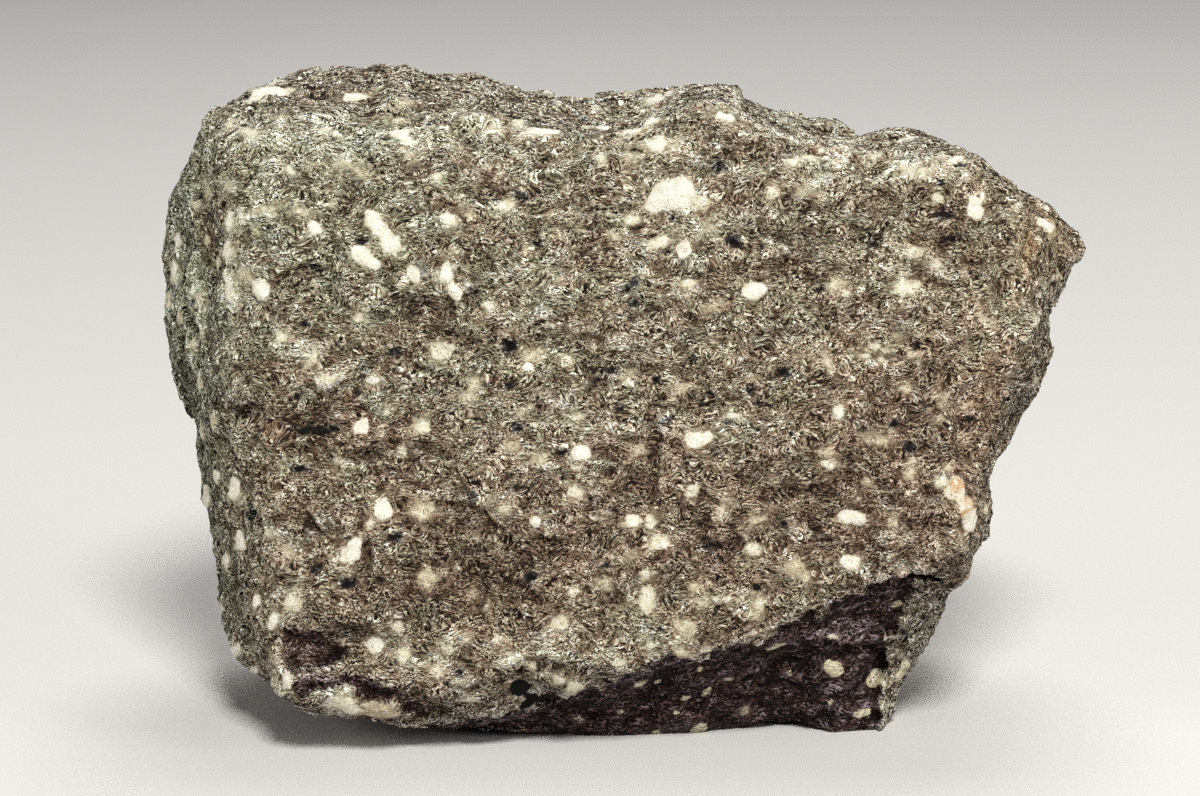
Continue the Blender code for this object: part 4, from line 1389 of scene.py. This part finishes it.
            # Each flat side is a plane square to its row; the last row is empty, for a grain with none.
            flats = rng.normal(size=(grain.look.flats + 1, 3)) * (1.0, 0.5, 1.0)
            flats /= np.linalg.norm(flats, axis=1)[:, None] * rng.uniform(*self.flat_reach, (len(flats), 1))
            flats[-1] = 0.0
            halves = np.array(grain.halves)
            near = np.abs(points - grain.middle) < halves.max() + self.far
            near = np.nonzero(near.all(axis=1))[0]
            if not len(near):
                continue
            local = (points[near] - grain.middle) @ np.array(Matrix.Rotation(grain.turn, 3, "Y")) / halves
            point = grain.look.point
            scaled = (np.abs(local) ** point).sum(axis=1) ** (1.0 / point)
            scaled = np.maximum(scaled, (local @ flats.T).max(axis=1))
            scaled = scaled * (1.0 + self.wander * bays[near]) + TINY
            slope = np.linalg.norm(local / halves, axis=1) + TINY
            inside = scaled * (1.0 - scaled) / slope
            closer = inside > best[near]
            won = near[closer]
            best[won] = inside[closer]
            look = (grain.look.white, grain.look.proud, grain.look.feather, grain.look.stain)
            for values, value in zip(looks.values(), look):
                values[won] = value
        return best, looks

    def seen_grains(self, tree: BVHTree, grains: Sequence[Grain]) -> list[PlacedGrain]:
        """Sets each grain that the camera sees on the surface, along its line of sight.

        Args:
            tree: The surface, in the foliation frame.
            grains: The grains on the picture plane.

        Returns:
            The grains in the foliation frame.
        """
        start = self.camera.place()
        found = []
        for grain in grains:
            toward = Vector((grain.across, 0.0, grain.up)) - start
            hit = tree.ray_cast(start, toward.normalized())[0]
            if hit is None:
                # The line of sight just misses the outline: the grain goes to the nearest place behind it.
                hit = tree.find_nearest(Vector((grain.across, self.miss_depth, grain.up)))[0]
            grow = 0.5 * (1.0 + hit.y / self.camera.away)
            deep = grain.deep or self.deep_share * grain.width
            halves = (grain.length * grow, 0.5 * deep, grain.width * grow)
            found.append(PlacedGrain(np.array(hit), halves, -math.radians(grain.turn), grain.kind.value))
        return found

    def add_patches(self, points: np.ndarray, normals: np.ndarray, tones: dict[str, np.ndarray]) -> None:
        """Adds the broad patches, painted shade on faces turned down, and the sides to the tones.

        Args:
            points: The vertices in millimetres.
            normals: Their normals.
            tones: The tones by name, changed in place.
        """
        for patch in PATCHES:
            patch.spread(points, tones)
        # Painted shade: faces turned down are darker and more violet.
        under = np.clip(-normals[:, 2] - 0.2, 0.0, 0.5) * 2.0
        tones["pale"] -= 0.06 * under
        tones["violet"] = np.clip(tones["violet"] + 0.4 * under, 0.0, 1.0)
        tones["side"] = smooth_step((0.7 - np.abs(normals[:, 1])) / 0.35)

    def roughen(self, mesh: bpy.types.Mesh, finish: bpy.types.Material) -> bpy.types.Mesh:
        """Gives the mesh its broken relief through geometry nodes.

        Args:
            mesh: The mesh with its grains marked.
            finish: The stone's finish.

        Returns:
            The plain result.
        """
        form = add_object("rough_form", mesh)
        relief = ReliefTree(self.foliation)
        modifier = form.modifiers.new("broken_relief", "NODES")
        modifier.node_group = relief.build()
        values = {**relief.sizes(), "Finish": finish}
        for socket in modifier.node_group.interface.items_tree:
            if socket.in_out == "INPUT" and socket.name in values:
                modifier[socket.identifier] = values[socket.name]
        rough = plain_result(form)
        form.modifiers.clear()
        bpy.data.objects.remove(form)
        bpy.data.meshes.remove(mesh)
        write_places(rough, read_vectors(rough.vertices, "co"))
        return rough

    def mark_edges(self, mesh: bpy.types.Mesh) -> None:
        """Writes how far each vertex stands out of its surroundings, for painted highlights on edges and
        painted shade in hollows.

        Args:
            mesh: The rough mesh.
        """
        places = read_vectors(mesh.vertices, "co")
        normals = vertex_normals(places, corners_of(mesh))
        one, other = edge_ends(mesh)
        degree = np.bincount(one, minlength=len(places))[:, None]
        round_about = places
        for _ in range(self.edge_rounds):
            round_about = neighbour_means(round_about, one, other, degree)
        write_values(mesh, "edge", ((places - round_about) * normals).sum(axis=1) / MM)

    def thin(self, mesh: bpy.types.Mesh) -> bpy.types.Object:
        """Takes out the triangles that the flat places don't need.

        Args:
            mesh: The rough mesh.

        Returns:
            The finished piece.
        """
        stone = add_object("mylonite_stone", mesh)
        thinner = stone.modifiers.new("fewer_triangles", "DECIMATE")
        thinner.ratio = min(1.0, self.triangles / len(corners_of(mesh)))
        thinned = plain_result(stone)
        thinned.name = stone.name
        write_places(thinned, read_vectors(thinned.vertices, "co"))
        stone.modifiers.clear()
        stone.data = thinned
        bpy.data.meshes.remove(mesh)
        thinned.shade_smooth()
        return stone


@dataclass(frozen=True)
class ColourRun:
    """A run of colours from dark to pale.

    Args:
        stops: The levels at which the colours are reached, and the colours.
    """

    stops: tuple[tuple[float, str], ...]

    def lay(self, tree: bpy.types.NodeTree, level: Source) -> bpy.types.Node:
        """Turns a level into a colour.

        Args:
            tree: The material's node tree.
            level: The level, from 0 to 1.

        Returns:
            The node that gives the colour.
        """
        made = add_node(tree, "ShaderNodeValToRGB", level)
        elements = made.color_ramp.elements
        while len(elements) < len(self.stops):
            elements.new(0.5)
        for element, (position, code) in zip(elements, self.stops):
            element.position = position
            element.color = linear(code)
        return made


@dataclass(frozen=True)
class Readings:
    """What the finish reads at each place of the surface.

    Args:
        tree: The material's node tree.
        place: The place in millimetres in the foliation frame.
        flow: The same, bent so that what is laid along the foliation flows in curls.
        grain: Three random values of each fine grain, as one vector.
        shares: The same values, one by one.
        marks: The mesh's own values by name.
    """

    tree: bpy.types.NodeTree
    place: Source
    flow: Source
    grain: bpy.types.NodeSocket
    shares: bpy.types.NodeOutputs
    marks: dict[str, bpy.types.NodeSocket]


@dataclass(frozen=True)
class MyloniteFinish:
    """Mylonite: feldspar, quartz and mica ground fine and drawn out, then broken; dry and unpolished.

    It gives the eye a peppery grain of pale and dark specks a few tenths of a millimetre across, finer across
    the foliation, in curly drifts of purplish brown and olive grey, with cloudy white feldspar eyes. Amounts
    are in levels, where 0 is the darkest colour of a run and 1 the palest.

    Args:
        foliation: The stone's foliation frame.
        brown: The colours of the browner ground; its palest end makes white specks, partly pale grains and
            partly painted glints.
        olive: The colours of the greyer ground, whose palest end does the same.
        mica: The colours of the mica clots, near black, whose palest flecks are painted glints.
        feldspar: The colours of the eyes.
        cool_tint: What the cool drifts of the ground are tinted with.
        rust_tint: The same for rust in the ground.
        fresh_violet_and_painted_shade_tint: The same for the violet of fresh breaks, which on the undercut
            and on faces turned down is partly painted shade.
        stain_tint: The same for rust in an eye.
        fibre: The size of one grain along, away and up, in millimetres. Real ones go on down to a tenth of
            that and less, and these are as fine as the picture can show.
        curls: The patterns that bend the grain, and how far each bends it, in millimetres.
        ground_level: How light the ground is in the middle.
        contrast: How strongly single grains differ, in dull clusters and in lively ones.
        halo_level: How much paler the ground is round an eye.
        halo_calm: How much less its grains differ there.
        side_contrast: How much more they differ on the sides.
        strands: The finest streaks, which follow the curls, and their amount.
        drifts: The patches of paler and darker ground, and their amounts.
        spots: The small pale and dark spots, drawn out along the foliation, and their amounts.
        threads: The long thin threads of mica and feldspar, and their amounts.
        partings: The dark partings between the leaves, where a side cuts across them, and their amount.
        painted_relief_light_and_shade: How much paler a place is for each millimetre that it stands out, and
            darker where it lies low: painted light and shade.
        painted_edge_light_and_shade: The same for how far a place stands out of its surroundings: a painted
            highlight on sharp edges and painted shade in hollows.
        fresh: How much further apart light and dark are where a break is fresh.
        ior: The refraction of feldspar and quartz.
        gloss: The strength of the gloss, low because the ground is dull.
        roughness: How rough a mica or cleavage face is, and how rough the rest.
        facet_tilt: How far each grain's facet is turned.
        bump_height: The height of the finest bumps, in millimetres.
    """

    foliation: FoliationFrame
    brown: ColourRun = ColourRun(
        (
            (0.00, "#140b08"), (0.16, "#322016"), (0.32, "#594232"), (0.46, "#7c6552"),
            (0.60, "#a18a73"), (0.74, "#c4b096"), (0.88, "#e6d8bf"), (1.00, "#fff8e9"),
        )
    )
    olive: ColourRun = ColourRun(
        (
            (0.00, "#0b0c08"), (0.16, "#232317"), (0.32, "#494835"), (0.46, "#6d6d55"),
            (0.60, "#939376"), (0.74, "#b9ba9c"), (0.88, "#dcdcc2"), (1.00, "#fbfaed"),
        )
    )
    mica: ColourRun = ColourRun(
        ((0.00, "#070606"), (0.30, "#1b1a19"), (0.52, "#474643"), (0.70, "#8c8e88"), (1.00, "#e6e9e4"))
    )
    feldspar: ColourRun = ColourRun(
        (
            (0.00, "#0b0a0a"), (0.04, "#2a2622"), (0.10, "#8c8069"), (0.30, "#afa283"),
            (0.52, "#cbc2a2"), (0.74, "#dfd8c1"), (0.95, "#ece6d6"),
        )
    )
    cool_tint: str = "#d3dcea"
    rust_tint: str = "#e8bd84"
    fresh_violet_and_painted_shade_tint: str = "#ab9ab2"
    stain_tint: str = "#d9a468"
    fibre: tuple[float, float, float] = (0.4, 0.13, 0.145)
    curls: tuple[tuple[Mottle, float], ...] = (
        (Mottle((5.0, 3.0, 4.0), 1.0), 4.5),
        (Mottle((1.7, 1.0, 1.3), 1.0), 1.5),
        (Mottle((0.6, 0.4, 0.5), 1.0), 0.4),
    )
    ground_level: float = 0.445
    contrast: tuple[float, float] = (0.48, 1.12)
    halo_level: float = 0.16
    halo_calm: float = 0.35
    side_contrast: float = 0.35
    strands: tuple[Mottle, float] = (Mottle((0.6, 0.18, 0.21), 3.0, 0.75, 0.6, 6.0), 0.52)
    drifts: tuple[tuple[Mottle, float], ...] = (
        (Mottle((2.8, 1.2, 1.7), 4.0, 0.6, 0.5, 1.3), 0.42),
        (Mottle((7.0, 2.4, 2.6), 2.0, 0.6, 0.6, 8.4), 0.22),
        (Mottle((22.0, 6.0, 9.0), 2.0, 0.5, 0.0, 5.1), 0.3),
    )
    spots: tuple[tuple[Mottle, float], ...] = (
        (Mottle((1.9, 0.8, 1.1), 4.0, 0.65, 0.3, 21.0), 0.16),
        (Mottle((2.0, 0.8, 1.0), 4.0, 0.65, 0.3, 33.0), -0.24),
    )
    threads: tuple[tuple[Mottle, float], ...] = (
        (Mottle((3.6, 1.4, 2.4), 1.0, 0.5, 1.2, 41.0), 0.2),
        (Mottle((4.2, 1.4, 1.6), 2.0, 0.5, 1.2, 53.0), -0.2),
    )
    partings: tuple[Mottle, float] = (Mottle((5.0, 0.9, 3.6), 3.0, 0.55, 0.4, 71.0), -0.4)
    painted_relief_light_and_shade: float = 0.14
    painted_edge_light_and_shade: float = 0.35
    fresh: float = 0.55
    ior: float = 1.5
    gloss: float = 0.14
    roughness: tuple[float, float] = (0.38, 0.8)
    facet_tilt: float = 0.7
    bump_height: float = 0.3

    def build(self) -> bpy.types.Material:
        """Builds the material.

        Returns:
            The stone's finish.
        """
        material = bpy.data.materials.new("mylonite_broken_surface")
        material.use_nodes = True
        tree = material.node_tree
        tree.nodes.clear()
        place = add_node(
            tree,
            "ShaderNodeMapping",
            add_node(tree, "ShaderNodeTexCoord").outputs["Object"],
            self.foliation.origin(),
            (self.foliation.lean, 0.0, 0.0),
            (1 / MM, 1 / MM, 1 / MM),
            vector_type="POINT",
        )
        names = "eye eye_white eye_feather eye_stain clot pale warm rust violet side relief edge"
        marks = {
            name: add_node(tree, "ShaderNodeAttribute", attribute_name=name).outputs["Fac"]
            for name in names.split()
        }
        flow = place
        for pattern, reach in self.curls:
            flow = add_node(tree, Work.VECTOR_TIMES_PLUS, pattern.stray(tree, flow), (reach,) * 3, flow)
        # The fine grain: short fibres, each with three random values of its own.
        scaled = add_node(tree, Work.VECTOR_TIMES, flow, tuple(1.0 / size for size in self.fibre))
        boxes = add_node(tree, "ShaderNodeVectorMath", scaled, operation="FLOOR")
        grain = add_node(tree, "ShaderNodeTexWhiteNoise", boxes, noise_dimensions="3D").outputs["Color"]
        shares = add_node(tree, "ShaderNodeSeparateColor", grain).outputs
        read = Readings(tree, place, flow, grain, shares, marks)
        shader = self.surface(read, self.eyes(read, self.ground(read)))
        add_node(tree, "ShaderNodeOutputMaterial", shader)
        return material

    def level(self, read: Readings) -> bpy.types.Node:
        """Adds how light the fine-grained ground is from place to place.

        Args:
            read: What the finish reads.

        Returns:
            The level, about 0.5 in the middle.
        """
        tree, marks = read.tree, read.marks
        halo = Mottle((1.4, 1.0, 1.3), 3.0, 0.6, 0.4, 17.0).weave(tree, read.place)
        halo = add_node(tree, Work.TIMES_PLUS, halo, 1.6, marks["eye"])
        halo = add_node(tree, Work.EASE, halo, -0.9, 0.9)
        clusters = Mottle((1.9, 0.9, 1.3), 2.0, 0.5, 0.0, 11.0).weave(tree, read.place)
        strength = add_node(tree, Work.SPREAD, clusters, 0.35, 0.65, *self.contrast)
        strength = add_node(tree, Work.TIMES_PLUS, halo, -self.halo_calm, strength)
        strength = add_node(tree, Work.TIMES_PLUS, marks["side"], self.side_contrast, strength)
        speck = add_node(tree, Work.LESS, read.shares[0], 0.5)
        level = add_node(tree, Work.TIMES_PLUS, speck, strength, self.ground_level)
        strands, amount = self.strands
        level = add_node(tree, Work.TIMES_PLUS, strands.swing(tree, read.flow), amount, level)
        for pattern, amount in self.drifts:
            level = add_node(tree, Work.TIMES_PLUS, pattern.swing(tree, read.place), amount, level)
        for pattern, amount in self.spots:
            spot = add_node(tree, Work.EASE, pattern.weave(tree, read.place), 0.58, 0.66)
            level = add_node(tree, Work.TIMES_PLUS, spot, amount, level)
        for pattern, amount in self.threads:
            thread = add_node(tree, Work.SIZE, pattern.swing(tree, read.flow))
            thread = add_node(tree, Work.EASE, thread, 0.006, 0.02, 1.0, 0.0)
            level = add_node(tree, Work.TIMES_PLUS, thread, amount, level)
        partings, amount = self.partings
        parting = add_node(tree, Work.SIZE, partings.swing(tree, read.place))
        parting = add_node(tree, Work.EASE, parting, 0.01, 0.05, 1.0, 0.0)
        parting = add_node(tree, Work.TIMES, parting, marks["side"])
        for value, weight in (
            (parting, amount),
            (marks["pale"], 1.0),
            (halo, self.halo_level),
            # Painted light and shade: places that stand out are paler, places that lie low darker.
            (marks["relief"], self.painted_relief_light_and_shade),
            # Painted highlight on sharp edges and painted shade in hollows.
            (marks["edge"], self.painted_edge_light_and_shade),
        ):
            level = add_node(tree, Work.TIMES_PLUS, value, weight, level)
        # Leaves of mica and feldspar stand apart more where the breaks are fresh.
        apart = add_node(tree, Work.LESS, level, 0.4)
        fresh = add_node(tree, Work.TIMES, marks["violet"], self.fresh)
        return add_node(tree, Work.TIMES_PLUS, apart, fresh, level)

    def ground(self, read: Readings) -> bpy.types.NodeSocket:
        """Adds the colour of the ground: brown and olive drifts, black mica clots and rust.

        Args:
            read: What the finish reads.

        Returns:
            The colour.
        """
        tree, marks = read.tree, read.marks
        level = self.level(read)
        hue = Mottle((4.5, 2.0, 3.0), 6.0, 0.7, 0.5, 9.2).weave(tree, read.place)
        hue = add_node(tree, Work.TIMES_PLUS, read.shares[1], 0.3, hue)
        hue = add_node(tree, Work.SPREAD, hue, 0.48, 0.82)
        # Dark ground is the browner, and so is each drift of the brown hue and each warm tone.
        warm = add_node(tree, Work.TIMES_PLUS, level, -0.6, 0.4)
        warm = add_node(tree, Work.PLUS, warm, hue)
        warm = add_node(tree, Work.TIMES_PLUS, marks["warm"], 0.5, warm, use_clamp=True)
        both = {6: self.olive.lay(tree, level), 7: self.brown.lay(tree, level)}
        colour = add_node(tree, Work.BLEND, warm, named=both).outputs[2]
        ragged = Mottle((1.5, 0.8, 1.1), 5.0, 0.75, 0.6, 4.0).swing(tree, read.place)
        inside = add_node(tree, Work.TIMES_PLUS, ragged, 4.0, marks["clot"])
        share = add_node(tree, Work.EASE, inside, -0.3, 0.5)
        dark = add_node(tree, Work.TIMES_PLUS, share, -0.17, level)
        both = {6: colour, 7: self.mica.lay(tree, dark)}
        colour = add_node(tree, Work.BLEND, share, named=both).outputs[2]
        rust = add_node(tree, Work.TIMES, marks["rust"], hue, use_clamp=True)
        rust = add_node(tree, Work.TIMES_PLUS, rust, 0.5, marks["rust"], use_clamp=True)
        cool = Mottle((3.6, 1.7, 2.6), 5.0, 0.7, 0.5, 61.0).weave(tree, read.place)
        cool = add_node(tree, Work.TIMES_PLUS, read.shares[2], 0.2, cool)
        cool = add_node(tree, Work.EASE, cool, 0.6, 0.8)
        # The violet tint is the colour of fresh breaks, and on the undercut and faces turned down partly
        # painted shade.
        tints = ((cool, self.cool_tint), (rust, self.rust_tint), (marks["violet"], self.fresh_violet_and_painted_shade_tint))
        for share, tint in tints:
            colour = add_node(tree, Work.TINT, share, named={6: colour, 7: linear(tint)}).outputs[2]
        return colour

    def eyes(self, read: Readings, ground: bpy.types.NodeSocket) -> bpy.types.NodeSocket:
        """Lays the feldspar eyes over the ground: white where they are clear, buff where they are cloudy.

        Args:
            read: What the finish reads.
            ground: The colour under them.

        Returns:
            The colour.
        """
        tree, marks = read.tree, read.marks
        ragged = Mottle((0.9, 0.7, 0.9), 4.0, 0.68, 0.7, 7.0).swing(tree, read.place)
        stray = add_node(tree, Work.TIMES_PLUS, marks["eye_feather"], 2.2, 0.3)
        inside = add_node(tree, Work.TIMES_PLUS, ragged, stray, marks["eye"])
        outer = add_node(tree, Work.TIMES_PLUS, marks["eye_feather"], -0.5, -0.03)
        inner = add_node(tree, Work.TIMES_PLUS, marks["eye_feather"], 0.7, 0.06)
        share = add_node(tree, Work.EASE, inside, outer, inner)
        # The faint ones are peppered with the ground's own grain.
        pepper = add_node(tree, Work.SIZE, marks["eye_white"])
        pepper = add_node(tree, Work.TIMES_PLUS, pepper, -0.5, 0.46)
        pepper = add_node(tree, Work.BELOW, read.shares[2], pepper)
        pepper = add_node(tree, Work.TIMES_PLUS, pepper, -0.7, 1.0)
        share = add_node(tree, Work.TIMES, share, pepper)
        # Clouds, the depth inside the eye and its own grain make it clearer or cloudier.
        cloud = Mottle((1.3, 1.0, 1.2), 5.0, 0.7, 0.6, 2.0).weave(tree, read.place)
        cloud = add_node(tree, Work.SPREAD, cloud, 0.3, 0.7, -0.3, 0.3)
        depth = add_node(tree, Work.SPREAD, inside, 0.0, 1.0, -0.12, 0.1)
        speck = add_node(tree, Work.TIMES_PLUS, read.shares[1], 0.16, -0.08)
        clear = add_node(tree, Work.TIMES_PLUS, marks["eye_white"], 0.7, 0.2)
        for value in (cloud, depth, speck):
            clear = add_node(tree, Work.PLUS, clear, value)
        rust = Mottle((1.6, 1.4, 1.6), 3.0, 0.6, 0.4, 14.0).weave(tree, read.place)
        rust = add_node(tree, Work.EASE, rust, 0.42, 0.62)
        rust = add_node(tree, Work.TIMES, rust, marks["eye_stain"])
        both = {6: self.feldspar.lay(tree, clear), 7: linear(self.stain_tint)}
        colour = add_node(tree, Work.TINT, rust, named=both).outputs[2]
        return add_node(tree, Work.BLEND, share, named={6: ground, 7: colour}).outputs[2]

    def surface(self, read: Readings, colour: bpy.types.NodeSocket) -> bpy.types.Node:
        """Adds the shader: each grain's facet is turned its own way, and some of them are mica or cleavage.

        Args:
            read: What the finish reads.
            colour: The surface's colour.

        Returns:
            The shader.
        """
        tree = read.tree
        tilt = add_node(tree, Work.VECTOR_LESS, read.grain, HALF)
        flat = add_node(tree, "ShaderNodeNewGeometry").outputs["Normal"]
        facet = add_node(tree, Work.VECTOR_TIMES_PLUS, tilt, (self.facet_tilt,) * 3, flat)
        facet = add_node(tree, "ShaderNodeVectorMath", facet, operation="NORMALIZE")
        rise = Mottle((0.9, 0.5, 0.7), 5.0, 0.7, 0.8, 3.0).weave(tree, read.place)
        bumps = {"Strength": 1.0, "Distance": self.bump_height * MM, "Height": rise, "Normal": facet}
        looks = {
            "Base Color": colour,
            "Roughness": add_node(tree, Work.EASE, read.shares[1], 0.0, 0.2, *self.roughness),
            "Normal": add_node(tree, "ShaderNodeBump", named=bumps),
            "IOR": self.ior,
            "Specular IOR Level": self.gloss,
        }
        return add_node(tree, "ShaderNodeBsdfPrincipled", named=looks)


@dataclass(frozen=True)
class StudioFloor:
    """A plain pale floor: its half width in metres, its colour and its roughness."""

    half_width: float = 4.0
    colour: str = "#d8d6d1"
    roughness: float = 0.9

    def build(self) -> bpy.types.Object:
        """Makes the floor.

        Returns:
            The floor's object.
        """
        corners = [(-1, -1, 0), (1, -1, 0), (1, 1, 0), (-1, 1, 0)]
        mesh = bpy.data.meshes.new("studio_floor")
        mesh.from_pydata([Vector(corner) * self.half_width for corner in corners], [], [(0, 1, 2, 3)])
        # Matt paper: it takes a soft shadow and gives back no gloss.
        material = bpy.data.materials.new("matt_paper_sweep")
        material.use_nodes = True
        shader = material.node_tree.nodes["Principled BSDF"]
        shader.inputs["Base Color"].default_value = linear(self.colour)
        shader.inputs["Roughness"].default_value = self.roughness
        mesh.materials.append(material)
        return add_object("studio_floor", mesh)


@dataclass(frozen=True)
class SoftLamp:
    """One soft round lamp: where it stands, its width in metres, its power in watts and what it lights."""

    name: str
    place: tuple[float, float, float]
    width: float
    power: float
    lit: tuple[float, float, float] = (0.0, 0.0, 0.045)

    def build(self) -> None:
        """Makes the lamp, turned to the middle of the stone."""
        light = bpy.data.lights.new(self.name, "AREA")
        light.shape = "DISK"
        light.size = self.width
        light.energy = self.power
        lamp = bpy.data.objects.new(self.name, light)
        lamp.location = self.place
        toward = Vector(self.lit) - Vector(self.place)
        lamp.rotation_euler = toward.to_track_quat("-Z", "Y").to_euler()
        bpy.context.scene.collection.objects.link(lamp)


LAMPS = [
    SoftLamp("key", (0.12, -0.85, 1.0), 0.35, 16.5),
    SoftLamp("left_fill", (-1.1, -0.5, 0.55), 0.6, 3.2),
    SoftLamp("right_fill", (1.1, -0.5, 0.4), 0.6, 5.5),
    SoftLamp("top", (0.1, 0.5, 1.1), 0.6, 6.0),
]


@dataclass(frozen=True)
class StudioRoom:
    """The even, low, neutral light of the room: its colour and its strength."""

    colour: str = "#dcdcdc"
    strength: float = 0.12

    def build(self) -> None:
        """Makes the room's light and shows colours plainly, grain and all."""
        world = bpy.data.worlds.new("studio_room")
        world.use_nodes = True
        background = world.node_tree.nodes["Background"]
        background.inputs["Color"].default_value = linear(self.colour)
        background.inputs["Strength"].default_value = self.strength
        bpy.context.scene.world = world
        bpy.context.scene.view_settings.view_transform = "Standard"
        bpy.context.scene.cycles.use_denoising = False


def main() -> None:
    """Builds the stone, its finish, the studio and the camera."""
    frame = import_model()
    foliation = FoliationFrame()
    camera = PhotoCamera()
    finish = MyloniteFinish(foliation).build()
    stone = BrokenStone(foliation, camera).build(frame["nodes"]["stone"], finish)
    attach(stone, "root")
    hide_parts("stone")
    LOG.info("%s: %d triangles", stone.name, len(corners_of(stone.data)))
    floor = StudioFloor().build()
    LOG.info("%s: %.0f m across", floor.name, floor.dimensions.x)
    for lamp in LAMPS:
        lamp.build()
    StudioRoom().build()
    camera.build(foliation)


if __name__ == "__main__":
    logging.basicConfig(level=logging.INFO, stream=sys.stdout, format="%(message)s")
    main()
